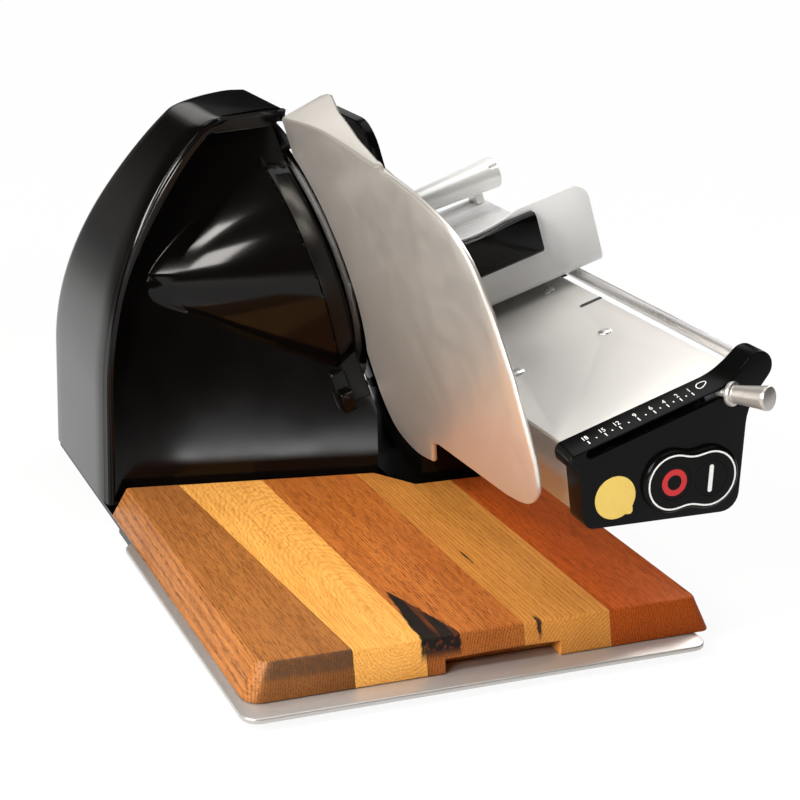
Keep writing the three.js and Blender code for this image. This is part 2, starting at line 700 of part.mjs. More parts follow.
const frontAngle = (degrees) => 180 - degrees;
const deflectorBand = keep(
  prism('x', sector(
    CONE_NECK,
    CONE_RADIUS + DEFLECTOR_WALL,
    frontAngle(DEFLECTOR_HIGH),
    frontAngle(DEFLECTOR_LOW),
    20,
  ), HOUSING_C - DEFLECTOR_WIDTH, HOUSING_C - FIT),
  turned('x', [
    [0, HOUSING_C - DEFLECTOR_WIDTH - FIT],
    [CONE_RADIUS + 1, HOUSING_C - DEFLECTOR_WIDTH - FIT],
    [CONE_NECK + 1.2, HOUSING_C],
    [0, HOUSING_C],
  ], [BLADE_Y, BLADE_V], 64),
).applyMatrix4(LEANING);
function behindWall(gap) {
  const wide = 2 * HOUSING_FOOT_WIDTH;
  const rings = [-OVERSHOOT, HOUSING_TOP + OVERSHOOT].map((z) => [
    [-wide, frontWall(-wide, z) - gap],
    [wide, frontWall(wide, z) - gap],
    [wide, 2 * HOUSING_BACK],
    [-wide, 2 * HOUSING_BACK],
  ].map(([x, y]) => new THREE.Vector3(x, y, z)));
  return loft(rings);
}
add(slicer, 'slice_deflector', cut(deflectorBand, behindWall(FIT)), blackPlastic);

// Catch of the deflector, on the front wall under the cone
const catchAngle = THREE.MathUtils.degToRad(DEFLECTOR_LOW);
const catchV = BLADE_V + (CONE_RADIUS + CATCH_HEIGHT / 2) * Math.sin(catchAngle);
const catchC = HOUSING_C - DEFLECTOR_WIDTH - CATCH_WIDTH / 2;
const catchBack = frontWall(worldX(catchC, catchV), worldZ(catchC, catchV));
const deflectorCatch = box(
  [catchC - CATCH_WIDTH / 2, catchBack - CATCH_LENGTH, catchV - CATCH_HEIGHT],
  [catchC + CATCH_WIDTH / 2, catchBack + CATCH_LENGTH, catchV],
).applyMatrix4(LEANING);
add(slicer, 'deflector_catch', cut(deflectorCatch, behindWall(FIT)), blackPlastic);

// Blade with its hub, shaft, pulley and cover
const bladeAxis = [BLADE_Y, BLADE_V];
add(leaning, 'blade', turned('x', [
  [BLADE_HOLE, BLADE_LEFT],
  [BLADE_RADIUS - BLADE_BEVEL, BLADE_LEFT],
  [BLADE_RADIUS, BLADE_RIGHT - BLADE_EDGE],
  [BLADE_RADIUS, BLADE_RIGHT],
  [BLADE_HOLE, BLADE_RIGHT],
], bladeAxis, 72), polishedSteel);
const HUB_LEFT = BLADE_LEFT - FIT - HUB_THICKNESS;
add(leaning, 'blade_hub', turned('x', [
  [0, HUB_LEFT],
  [HUB_RADIUS, HUB_LEFT],
  [HUB_RADIUS, BLADE_LEFT - FIT],
  [BLADE_HOLE - FIT, BLADE_LEFT - FIT],
  [BLADE_HOLE - FIT, BLADE_RIGHT - FIT],
  [0, BLADE_RIGHT - FIT],
], bladeAxis), darkSteel);
const COVER_LEFT = BLADE_RIGHT + FIT;
add(leaning, 'blade_cover', turned('x', [
  [0, COVER_LEFT],
  [COVER_RADIUS, COVER_LEFT],
  [COVER_RADIUS - COVER_THICKNESS, COVER_LEFT + COVER_THICKNESS],
  [0, COVER_LEFT + COVER_THICKNESS],
], bladeAxis, 48), satinAluminium);
for (let screw = 0; screw < 3; screw += 1) {
  const angle = (2 * Math.PI * screw) / 3;
  const place = [
    BLADE_Y + COVER_SCREW_CIRCLE * Math.cos(angle),
    BLADE_V + COVER_SCREW_CIRCLE * Math.sin(angle),
  ];
  const low = COVER_LEFT + COVER_THICKNESS + FIT;
  add(leaning, `cover_screw_${screw + 1}`, turned('x', [
    [0, low],
    [COVER_SCREW_RADIUS, low],
    [COVER_SCREW_RADIUS * 0.7, low + COVER_SCREW_HEIGHT],
    [0, low + COVER_SCREW_HEIGHT],
  ], place, 12), polishedSteel);
}
const SHAFT_RIGHT = HUB_LEFT - FIT;
const SHAFT_LEFT = SHAFT_RIGHT - SHAFT_LENGTH;
add(leaning, 'blade_shaft', bar('x', SHAFT_RADIUS, SHAFT_LEFT, SHAFT_RIGHT, bladeAxis), polishedSteel);
const PULLEY_RIGHT = PULLEY_LEFT + PULLEY_WIDTH;
add(leaning, 'blade_pulley', ring(
  'x',
  SHAFT_RADIUS + RUN,
  BLADE_PULLEY_RADIUS,
  PULLEY_LEFT,
  PULLEY_RIGHT,
  bladeAxis,
  40,
), blackPlastic);

// Bearings of the blade shaft, in a flanged block on the housing's right wall
const BLOCK_RIGHT = HOUSING_C - HOUSING_WALL - FIT;
const BEARING_RIGHT = BLOCK_RIGHT - BEARING_FLANGE_THICKNESS;
const BEARING_LEFT = BEARING_RIGHT - BEARING_PITCH;
add(leaning, 'bearing_block', turned('x', [
  [BEARING_RADIUS + FIT, BEARING_LEFT - BEARING_WIDTH],
  [BEARING_BLOCK_RADIUS, BEARING_LEFT - BEARING_WIDTH],
  [BEARING_BLOCK_RADIUS, BLOCK_RIGHT - BEARING_FLANGE_THICKNESS],
  [BEARING_FLANGE_RADIUS, BLOCK_RIGHT - BEARING_FLANGE_THICKNESS],
  [BEARING_FLANGE_RADIUS, BLOCK_RIGHT],
  [BEARING_RADIUS + FIT, BLOCK_RIGHT],
], bladeAxis), darkSteel);
for (const [name, right] of [['bearing_inner', BEARING_LEFT], ['bearing_outer', BEARING_RIGHT]]) {
  add(leaning, name, ring(
    'x',
    SHAFT_RADIUS + RUN,
    BEARING_RADIUS,
    right - BEARING_WIDTH,
    right,
    bladeAxis,
  ), polishedSteel);
}

// Motor, its bracket, shaft and pulley, and the belt
const motorAxis = [BLADE_Y, MOTOR_V];
const BRACKET_RIGHT = PULLEY_LEFT - BEARING_WIDTH;
const BRACKET_LEFT = BRACKET_RIGHT - MOTOR_BRACKET_THICKNESS;
const MOTOR_RIGHT = BRACKET_LEFT - FIT;
const MOTOR_LEFT = MOTOR_RIGHT - MOTOR_LENGTH;
const MOTOR_BORE = MOTOR_SHAFT_RADIUS + RUN;
const MOTOR_BORE_END = MOTOR_RIGHT - MOTOR_SHAFT_DEPTH - FIT;
add(leaning, 'motor_body', turned('x', [
  [0, MOTOR_LEFT],
  [MOTOR_RADIUS - BELT_THICKNESS, MOTOR_LEFT],
  [MOTOR_RADIUS, MOTOR_LEFT + BELT_THICKNESS],
  [MOTOR_RADIUS, MOTOR_RIGHT],
  [MOTOR_BORE, MOTOR_RIGHT],
  [MOTOR_BORE, MOTOR_BORE_END],
  [0, MOTOR_BORE_END],
], motorAxis), darkSteel);
add(leaning, 'motor_shaft', bar(
  'x',
  MOTOR_SHAFT_RADIUS,
  MOTOR_RIGHT - MOTOR_SHAFT_DEPTH,
  PULLEY_RIGHT,
  motorAxis,
), polishedSteel);
add(leaning, 'motor_pulley', ring(
  'x',
  MOTOR_SHAFT_RADIUS + RUN,
  MOTOR_PULLEY_RADIUS,
  PULLEY_LEFT,
  PULLEY_RIGHT,
  motorAxis,
), brass);
const bracketFoot = (FLOOR_TOP + 2 * FIT - BRACKET_LEFT * SIN) / COS;
add(leaning, 'motor_bracket', cut(
  prism('x', [
    [BLADE_Y - MOTOR_BRACKET_WIDTH / 2, bracketFoot],
    [BLADE_Y + MOTOR_BRACKET_WIDTH / 2, bracketFoot],
    [BLADE_Y + MOTOR_BRACKET_WIDTH / 2, MOTOR_V + MOTOR_RADIUS],
    [BLADE_Y - MOTOR_BRACKET_WIDTH / 2, MOTOR_V + MOTOR_RADIUS],
  ], BRACKET_LEFT, BRACKET_RIGHT),
  bar('x', 2 * MOTOR_SHAFT_RADIUS, BRACKET_LEFT - OVERSHOOT, BRACKET_RIGHT + OVERSHOOT, motorAxis),
), darkSteel);

// The belt runs round both pulleys along their common tangents.
function beltLoop(gap) {
  const big = BLADE_PULLEY_RADIUS + gap;
  const small = MOTOR_PULLEY_RADIUS + gap;
  const turn = THREE.MathUtils.radToDeg(Math.asin((big - small) / MOTOR_DROP));
  return [
    ...arcPoints(BLADE_Y, BLADE_V, big, -turn, 180 + turn, 60),
    ...arcPoints(BLADE_Y, MOTOR_V, small, 180 + turn, 360 - turn, 30),
  ];
}
const belt = new THREE.Shape(beltLoop(RUN + BELT_THICKNESS).map(([y, v]) => new THREE.Vector2(y, v)));
belt.holes.push(new THREE.Path(beltLoop(RUN).map(([y, v]) => new THREE.Vector2(y, v))));
add(leaning, 'drive_belt', prism('x', belt, PULLEY_LEFT + 1, PULLEY_RIGHT - 1), rubber);

// Ring guard round the back of the blade
const GUARD_INNER = BLADE_RADIUS + GUARD_GAP;
add(leaning, 'ring_guard', prism('x', sector(
  GUARD_INNER,
  GUARD_INNER + GUARD_WALL,
  90 - GUARD_END,
  90 - GUARD_START,
  48,
), HOUSING_C + FIT, HOUSING_C + FIT + GUARD_DEPTH), blackPlastic);

// Pedestal, arm, deck with its rivets, and the guide rod
const gaugeRodEnd = GAUGE_LEFT + GAUGE_THICKNESS + FIT + GAUGE_ROD_LENGTH;
const gaugeRodBore = bar(
  'x',
  GAUGE_ROD_RADIUS + RUN,
  GAUGE_LEFT,
  gaugeRodEnd + FIT,
  [GAUGE_ROD_Y, GAUGE_ROD_V],
).applyMatrix4(LEANING);
const pedestalBack = PEDESTAL_FRONT + PEDESTAL_DEPTH;
add(slicer, 'pedestal', cut(
  join(
    box(
      [PEDESTAL_LEFT, PEDESTAL_FRONT, FLOOR_TOP + FIT],
      [PEDESTAL_LEFT + PEDESTAL_WIDTH, pedestalBack, ARM_BOTTOM - FIT],
    ),
    box(
      [SHIELD_LEFT, pedestalBack - SHIELD_LENGTH, SHIELD_BOTTOM],
      [SHIELD_LEFT + SHIELD_WIDTH, pedestalBack, SHIELD_TOP],
    ).applyMatrix4(LEANING),
  ),
  gaugeRodBore,
), blackLacquer);

// Outline of the arm across Y, grown inwards by a wall; the deck closes its open top.
const armTop = DECK_UNDER - FIT;
function armOutline(wall, top) {
  const left = DECK_LEFT + wall;
  const bottom = ARM_BOTTOM + wall;
  const leftFoot = (bottom - left * SIN) / COS;
  const right = DECK_RIGHT - wall - 2 * FIT;
  return [
    leaningPoint(left, top),
    leaningPoint(left, leftFoot),
    [ARM_RIGHT - ARM_CHAMFER - wall / 2, bottom],
    [ARM_RIGHT - wall, ARM_BOTTOM + ARM_CHAMFER + wall / 2],
    leaningPoint(right, top),
  ];
}
add(slicer, 'arm_body', cut(
  prism('y', armOutline(0, armTop), DECK_FRONT, DECK_BACK),
  prism('y', armOutline(ARM_WALL, armTop + OVERSHOOT), DECK_FRONT - OVERSHOOT, DECK_BACK + OVERSHOOT),
), satinAluminium);

const rodAcross = [ROD_C, ROD_V];
const rodEnd = DECK_BACK + END_CAP_THICKNESS - FIT;
const rodBore = (from, to) => bar('y', ROD_RADIUS + RUN, from, to, rodAcross).applyMatrix4(LEANING);
const rodBoss = (radius, from, to) => bar('y', radius, from, to, rodAcross, 32).applyMatrix4(LEANING);
const endCapBack = DECK_BACK + FIT + END_CAP_THICKNESS;
add(slicer, 'arm_end_cap', cut(
  join(
    prism('y', armOutline(0, DECK_V), DECK_BACK + FIT, endCapBack),
    rodBoss(ROD_REAR_BOSS_RADIUS, DECK_BACK + FIT, endCapBack),
    box(
      [DECK_RIGHT - ROD_BOSS_RADIUS, DECK_BACK + FIT, ROD_V - ROD_REAR_BOSS_RADIUS],
      [ROD_C, endCapBack, DECK_V],
    ).applyMatrix4(LEANING),
  ),
  rodBore(DECK_BACK - OVERSHOOT, rodEnd + FIT),
), blackPlastic);
add(leaning, 'guide_rod', bar(
  'y',
  ROD_RADIUS,
  PANEL_BACK - ROD_SEAT,
  rodEnd,
  rodAcross,
), polishedSteel);

const rivetPlaces = RIVET_PLACES.map(([across, along]) => [DECK_LEFT + across, DECK_FRONT + along]);
const rivetHoles = rivetPlaces.map((place) => bar(
  'z',
  RIVET_SHANK + FIT,
  DECK_UNDER - OVERSHOOT,
  DECK_V + OVERSHOOT,
  place,
  10,
));
add(leaning, 'deck', cut(
  box([DECK_LEFT, DECK_FRONT, DECK_UNDER], [DECK_RIGHT, DECK_BACK, DECK_V]),
  box(
    [DECK_RIGHT - DECK_SLOT_LENGTH, DECK_SLOT_Y, DECK_UNDER - OVERSHOOT],
    [DECK_RIGHT + OVERSHOOT, DECK_SLOT_Y + DECK_SLOT_WIDTH, DECK_V + OVERSHOOT],
  ),
  ...rivetHoles,
), brushedSteel);
rivetPlaces.forEach((place, i) => {
  const seat = DECK_V + FIT;
  add(leaning, `deck_rivet_${i + 1}`, turned('z', [
    [0, DECK_UNDER],
    [RIVET_SHANK, DECK_UNDER],
    [RIVET_SHANK, seat],
    [RIVET_RADIUS, seat],
    [RIVET_RADIUS * 0.8, seat + RIVET_HEIGHT * 0.6],
    [0, seat + RIVET_HEIGHT],
  ], place, 12), polishedSteel);
});

// Control panel: a hollow cap on the arm's front end, with the rod's boss and the lever's slot
const panelTop = DECK_V + PANEL_RISE;
function panelOutline(wall) {
  const left = PANEL_LEFT + wall;
  const bottom = ARM_BOTTOM + wall;
  const leftFoot = (bottom - left * SIN) / COS;
  const corner = PANEL_CORNER - wall / 2;
  const right = PANEL_RIGHT - wall;
  const top = panelTop - wall;
  const [, topRightZ] = leaningPoint(ROD_C - wall, top);
  return [
    leaningPoint(left, top),
    leaningPoint(left, leftFoot),
    [right - corner, bottom],
    [right, bottom + corner],
    [right, topRightZ],
  ];
}
const panelHollow = prism('y', panelOutline(PANEL_WALL), PANEL_FRONT + PANEL_FACE, PANEL_BACK + OVERSHOOT);
const leverSlot = box(
  [LEVER_C - LEVER_TRAVEL - SLOT_HEIGHT, PANEL_FRONT - OVERSHOOT, LEVER_V - SLOT_HEIGHT / 2],
  [LEVER_C + SLOT_HEIGHT, PANEL_FRONT + PANEL_FACE + FIT, LEVER_V + SLOT_HEIGHT / 2],
).applyMatrix4(LEANING);
const buttonX = { off_button: SWITCH_X - BUTTON_PITCH / 2, on_button: SWITCH_X + BUTTON_PITCH / 2 };
const stemHoles = Object.values(buttonX).map((x) => bar(
  'y',
  BUTTON_STEM + RUN,
  PANEL_FRONT - OVERSHOOT,
  PANEL_FRONT + PANEL_FACE + FIT,
  [x, SWITCH_Z],
));
const panelBoss = rodBoss(ROD_BOSS_RADIUS, PANEL_FRONT, PANEL_BACK);
add(slicer, 'control_panel', cut(
  join(cut(prism('y', panelOutline(0), PANEL_FRONT, PANEL_BACK), panelHollow), panelBoss),
  rodBore(PANEL_BACK - ROD_SEAT - FIT, PANEL_BACK + OVERSHOOT),
  leverSlot,
  ...stemHoles,
), blackPlastic);

// Switch: a raised surround, two buttons and the body behind the panel's face
const BEZEL_BACK = PANEL_FRONT - FIT;
const BEZEL_FRONT = BEZEL_BACK - BEZEL_HEIGHT;
const bezelDiscs = Object.values(buttonX).map((x) => bar(
  'y',
  BEZEL_RADIUS,
  BEZEL_FRONT,
  BEZEL_BACK,
  [x, SWITCH_Z],
  32,
));
const buttonHoles = Object.values(buttonX).map((x) => bar(
  'y',
  BUTTON_RADIUS + RUN,
  BEZEL_FRONT - OVERSHOOT,
  BEZEL_BACK + OVERSHOOT,
  [x, SWITCH_Z],
  32,
));
add(slicer, 'switch_bezel', cut(join(...bezelDiscs), ...buttonHoles), blackPlastic);
const BUTTON_BACK = BEZEL_BACK - BUTTON_TRAVEL;
const STEM_END = PANEL_FRONT + PANEL_FACE - BUTTON_TRAVEL - FIT;
for (const [name, x] of Object.entries(buttonX)) {
  add(slicer, name, turned('y', [
    [0, BEZEL_FRONT - BUTTON_PROUD],
    [BUTTON_RADIUS - BUTTON_PROUD, BEZEL_FRONT - BUTTON_PROUD],
    [BUTTON_RADIUS, BEZEL_FRONT],
    [BUTTON_RADIUS, BUTTON_BACK],
    [BUTTON_STEM, BUTTON_BACK],
    [BUTTON_STEM, STEM_END],
    [0, STEM_END],
  ], [x, SWITCH_Z]), blackPlastic);
}
const SWITCH_BODY_FRONT = PANEL_FRONT + PANEL_FACE + FIT;
add(slicer, 'switch_body', box(
  [SWITCH_X - SWITCH_BODY_WIDTH / 2, SWITCH_BODY_FRONT, SWITCH_Z - SWITCH_BODY_HEIGHT / 2],
  [
    SWITCH_X + SWITCH_BODY_WIDTH / 2,
    SWITCH_BODY_FRONT + SWITCH_BODY_DEPTH,
    SWITCH_Z + SWITCH_BODY_HEIGHT / 2,
  ],
), blackPlastic);

// Thickness lever: a turned knob on a slider behind the panel's face
const sliderFront = PANEL_FRONT + PANEL_FACE + FIT;
const leverTurn = THREE.MathUtils.degToRad(LEVER_TURN);
const slider = box(
  [LEVER_C - SLIDER_WIDTH / 2, sliderFront, LEVER_V - SLIDER_HEIGHT / 2],
  [LEVER_C + SLIDER_WIDTH / 2, sliderFront + SLIDER_DEPTH, LEVER_V + SLIDER_HEIGHT / 2],
);
const knobStart = LEVER_STANDOFF;
const knob = turned('y', [
  [0, -knobStart - LEVER_LENGTH],
  [LEVER_END * 0.8, -knobStart - LEVER_LENGTH],
  [LEVER_END, -knobStart - LEVER_LENGTH + LEVER_COLLAR / 2],
  [LEVER_END, -knobStart - LEVER_LENGTH + 2 * LEVER_COLLAR],
  [LEVER_SHAFT, -knobStart - LEVER_LENGTH + 3 * LEVER_COLLAR],
  [LEVER_SHAFT, -knobStart - LEVER_COLLAR],
  [LEVER_END, -knobStart - LEVER_COLLAR],
  [LEVER_END, -knobStart],
  [LEVER_NECK, -knobStart],
  [LEVER_NECK, SLIDER_DEPTH / 2],
  [0, SLIDER_DEPTH / 2],
], [0, 0], 24).rotateZ(leverTurn).translate(LEVER_C, sliderFront, LEVER_V);
add(leaning, 'lever_slider', cut(slider, knob), darkSteel);
const neckGap = ring(
  'y',
  LEVER_NECK - FIT,
  LEVER_NECK + OVERSHOOT / 4,
  0,
  SLIDER_DEPTH,
  [0, 0],
  24,
).rotateZ(leverTurn).translate(LEVER_C, sliderFront, LEVER_V);
add(leaning, 'thickness_lever', cut(knob, neckGap), satinAluminium);

// Gauge plate: a sail with a blade-shaped edge, a tab for its rod and a wing along the top
const gaugeArc = BLADE_RADIUS + GAUGE_BLADE_GAP;
const sail = GAUGE_TOP - GAUGE_BOTTOM;
const sailLength = GAUGE_BACK - GAUGE_FRONT;
const sailPoint = (along, up) => [GAUGE_FRONT + along * sailLength, GAUGE_BOTTOM + up * sail];
const crest = [
  sailPoint(1, 0.973),
  sailPoint(0.732, 1),
  sailPoint(0.4525, 0.973),
  sailPoint(0.2486, 0.9375),
  sailPoint(0.1034, 0.871),
  sailPoint(0.0335, 0.746),
  sailPoint(0, 0.5),
];
const toVector = ([a, b]) => new THREE.Vector2(a, b);
function gaugeShape() {
  const arcLowV = BLADE_V - BLADE_RADIUS / 2;
  const lowAngle = Math.PI + Math.asin((BLADE_V - arcLowV) / gaugeArc);
  const highAngle = Math.PI - Math.acos((BLADE_Y - GAUGE_BACK) / gaugeArc);
  const arcLowY = BLADE_Y + gaugeArc * Math.cos(lowAngle);
  const shape = new THREE.Shape();
  shape.moveTo(...crest[0]);
  shape.splineThru(crest.slice(1).map(toVector));
  shape.lineTo(...sailPoint(0, 0.238));
  shape.splineThru([
    sailPoint(0.0223, 0.125),
    sailPoint(0.095, 0.043),
    sailPoint(0.2011, 0.0117),
  ].map(toVector));
  const tabDrop = GAUGE_BOTTOM - TAB_BOTTOM;
  const tabLength = arcLowY - TAB_FRONT;
  const tabPoint = (along, up) => [TAB_FRONT + along * tabLength, TAB_BOTTOM + up * tabDrop];
  shape.lineTo(...tabPoint(-0.133, 0.94));
  shape.lineTo(...tabPoint(0, 0.818));
  shape.lineTo(...tabPoint(0.114, 0.152));
  shape.splineThru([
    tabPoint(0.475, 0),
    tabPoint(0.807, 0.273),
    tabPoint(0.959, 1.03),
    [arcLowY, arcLowV],
  ].map(toVector));
  shape.absarc(BLADE_Y, BLADE_V, gaugeArc, lowAngle, highAngle, true);
  return shape;
}

function wingStrip() {
  const line = new THREE.SplineCurve(crest.slice(0, 4).map(toVector)).getPoints(14);
  const under = line.map((point) => new THREE.Vector2(point.x, point.y - WING_THICKNESS)).reverse();
  const strip = prism('x', new THREE.Shape([...line, ...under]), GAUGE_LEFT, GAUGE_LEFT + WING_WIDTH);
  strip.applyMatrix4(new THREE.Matrix4().set(
    1, 0, 0, 0,
    0, 1, 0, 0,
    WING_RISE, 0, 1, -WING_RISE * GAUGE_LEFT,
    0, 0, 0, 1,
  ));
  const plan = new THREE.Shape();
  const right = GAUGE_LEFT + GAUGE_THICKNESS;
  plan.moveTo(GAUGE_LEFT, GAUGE_BACK);
  plan.lineTo(GAUGE_LEFT, GAUGE_BACK - WING_LENGTH);
  plan.lineTo(right, GAUGE_BACK - WING_LENGTH);
  plan.splineThru([
    [right + 7.5, GAUGE_BACK - 0.7 * WING_LENGTH],
    [right + 21, GAUGE_BACK - 0.36 * WING_LENGTH],
    [GAUGE_LEFT + WING_WIDTH - 1, GAUGE_BACK - 10],
    [GAUGE_LEFT + WING_WIDTH - 7, GAUGE_BACK],
  ].map(toVector));
  plan.lineTo(GAUGE_LEFT, GAUGE_BACK);
  return keep(strip, prism('z', plan, GAUGE_TOP - 2 * OVERSHOOT, GAUGE_TOP + OVERSHOOT, 5));
}

add(leaning, 'gauge_plate', join(
  prism('x', gaugeShape(), GAUGE_LEFT, GAUGE_LEFT + GAUGE_THICKNESS, 6),
  wingStrip(),
), satinAluminium);
add(leaning, 'gauge_rod', bar(
  'x',
  GAUGE_ROD_RADIUS,
  gaugeRodEnd - GAUGE_ROD_LENGTH,
  gaugeRodEnd,
  [GAUGE_ROD_Y, GAUGE_ROD_V],
), polishedSteel);

// Carriage: a bent food table on a slide block and a shoe, with a grip over its front wall
function tableProfile() {
  const shape = new THREE.Shape();
  const inner = WALL_BEND - TABLE_THICKNESS;
  const bendY = TABLE_FRONT + WALL_BEND;
  const bendV = TABLE_UNDER + WALL_BEND;
  shape.moveTo(TABLE_BACK, TABLE_UNDER);
  shape.lineTo(TABLE_BACK, TABLE_V);
  shape.lineTo(bendY, TABLE_V);
  shape.absarc(bendY, bendV, inner, -Math.PI / 2, -Math.PI, true);
  shape.lineTo(TABLE_FRONT + TABLE_THICKNESS, WALL_TOP);
  shape.lineTo(TABLE_FRONT, WALL_TOP);
  shape.lineTo(TABLE_FRONT, bendV);
  shape.absarc(bendY, bendV, WALL_BEND, -Math.PI, -Math.PI / 2, false);
  return shape;
}
const wallCorner = prism('y', [
  ...arcPoints(TABLE_RIGHT - WALL_CORNER, WALL_TOP - WALL_CORNER, WALL_CORNER, 0, 90, 5),
  [TABLE_RIGHT - WALL_CORNER, WALL_TOP + OVERSHOOT],
  [TABLE_RIGHT + OVERSHOOT, WALL_TOP + OVERSHOOT],
  [TABLE_RIGHT + OVERSHOOT, WALL_TOP - WALL_CORNER],
], TABLE_FRONT - OVERSHOOT, TABLE_FRONT + OVERSHOOT);
const dipRadius = (WALL_DIP_LENGTH ** 2 / 4 + WALL_DIP ** 2) / (2 * WALL_DIP);
const wallDip = (drop) => bar(
  'y',
  dipRadius + drop,
  TABLE_FRONT - OVERSHOOT,
  TABLE_FRONT + OVERSHOOT,
  [GRIP_LEFT + GRIP_WIDTH / 2 - 2 * WALL_DIP, WALL_TOP - WALL_DIP + dipRadius],
  120,
);
add(leaning, 'food_table', cut(
  prism('x', tableProfile(), TABLE_LEFT, TABLE_RIGHT, 5),
  wallCorner,
  wallDip(0),
), satinAluminium);

const seatUnder = TABLE_UNDER - FIT;
const blockLeft = DECK_RIGHT + 1;
add(leaning, 'slide_block', cut(
  box(
    [blockLeft, BLOCK_FRONT, seatUnder - BLOCK_DROP],
    [blockLeft + BLOCK_WIDTH, BLOCK_FRONT + BLOCK_LENGTH, seatUnder],
  ),
  bar('y', ROD_RADIUS + RUN, BLOCK_FRONT - OVERSHOOT, BLOCK_FRONT + BLOCK_LENGTH + OVERSHOOT, rodAcross),
), blackPlastic);
add(leaning, 'glide_shoe', box(
  [SHOE_LEFT, BLOCK_FRONT, DECK_V + FIT],
  [SHOE_LEFT + SHOE_WIDTH, BLOCK_FRONT + BLOCK_LENGTH, seatUnder],
), blackPlastic);
const gripBack = TABLE_FRONT - FIT;
const gripFront = gripBack - GRIP_DEPTH;
const gripTop = WALL_TOP - GRIP_EDGE;
add(leaning, 'carriage_grip', cut(
  prism('x', [
    [gripFront + GRIP_CHAMFER, GRIP_BOTTOM],
    [gripBack, GRIP_BOTTOM],
    [gripBack, gripTop],
    [gripFront + GRIP_CHAMFER, gripTop],
    [gripFront, gripTop - GRIP_CHAMFER],
    [gripFront, GRIP_BOTTOM + GRIP_CHAMFER],
  ], GRIP_LEFT, GRIP_LEFT + GRIP_WIDTH),
  wallDip(GRIP_DIP_EDGE),
), blackLacquer);

// Pusher rail on two posts at the back of the table
const railAcross = [RAIL_Y, RAIL_V];
const postPlaces = { rail_post_left: TABLE_LEFT + 1, rail_post_right: TABLE_RIGHT - 3 - POST_WIDTH };
const railLeft = postPlaces.rail_post_left + POST_WIDTH / 2;
const railRight = postPlaces.rail_post_right + POST_WIDTH / 2;
for (const [name, left] of Object.entries(postPlaces)) {
  const reach = RAIL_RADIUS + POST_WALL;
  const post = box(
    [left, RAIL_Y - POST_DEPTH / 2, TABLE_V + FIT],
    [left + POST_WIDTH, RAIL_Y + POST_DEPTH / 2, RAIL_V + reach],
  );
  add(leaning, name, cut(
    post,
    bar('x', RAIL_RADIUS + RUN, railLeft - FIT, railRight + FIT, railAcross),
  ), satinAluminium);
}
add(leaning, 'pusher_rail', bar('x', RAIL_RADIUS, railLeft, railRight, railAcross), polishedSteel);

// Pusher: a press plate that swings on the rail, with its sleeve and its handle
const earRadius = RAIL_RADIUS + RUN + EAR_WALL;
const pressFrontRound = PRESS_ROUND / 2;
const pressOutline = [
  [PRESS_FRONT, PRESS_BOTTOM],
  [PRESS_BACK, PRESS_BOTTOM],
  ...arcPoints(PRESS_BACK - PRESS_ROUND, PRESS_TOP - PRESS_ROUND, PRESS_ROUND, 0, 90, 8),
  ...arcPoints(PRESS_FRONT + pressFrontRound, PRESS_TOP - pressFrontRound, pressFrontRound, 90, 180, 6),
];
const railBore = bar('x', RAIL_RADIUS + RUN, PRESS_LEFT - OVERSHOOT, PRESS_RIGHT + OVERSHOOT, railAcross);
add(leaning, 'press_plate', cut(
  join(
    prism('x', pressOutline, PRESS_LEFT, PRESS_RIGHT),
    bar('x', earRadius, PRESS_LEFT, PRESS_RIGHT, railAcross),
    box([PRESS_LEFT, HANDLE_Y, RAIL_V - EAR_WALL], [PRESS_RIGHT, RAIL_Y, RAIL_V + EAR_WALL]),
  ),
  railBore,
), blackPlastic);
const SLEEVE_LEFT = PRESS_RIGHT + FIT;
add(leaning, 'pusher_sleeve', ring(
  'x',
  RAIL_RADIUS + RUN,
  RAIL_RADIUS + RUN + SLEEVE_WALL,
  SLEEVE_LEFT,
  SLEEVE_LEFT + SLEEVE_LENGTH,
  railAcross,
), blackPlastic);
const HANDLE_LEFT = PRESS_RIGHT + FIT;
add(leaning, 'pusher_handle', turned('x', [
  [0, HANDLE_LEFT],
  [HANDLE_ROOT, HANDLE_LEFT],
  [HANDLE_TIP, HANDLE_LEFT + HANDLE_LENGTH - HANDLE_TIP / 3],
  [HANDLE_TIP * 0.8, HANDLE_LEFT + HANDLE_LENGTH],
  [0, HANDLE_LEFT + HANDLE_LENGTH],
], [HANDLE_Y, HANDLE_V]), satinAluminium);

// Centre the slicer over its footprint, standing on the floor
slicer.updateMatrixWorld(true);
const extent = new THREE.Box3().setFromObject(slicer);
const middle = extent.getCenter(new THREE.Vector3());
slicer.position.set(-middle.x, -middle.y, -extent.min.z);
slicer.updateMatrixWorld(true);

export default slicer;
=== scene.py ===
"""Dressed scene of a gravity-feed food slicer with a striped oak landing board.

Sizes are millimetres in the drawing frame: x = 0 is the housing's left wall, y = 0 the tray's front
edge and z = 0 the floor. Leaning pieces use (c, y, v): c is square to the blade and v runs up along it.
"""

from __future__ import annotations

import logging
import math
from dataclasses import dataclass
from enum import Enum
from typing import Callable, ClassVar, Sequence, Union

import bmesh
import bpy
from mathutils import Matrix, Vector

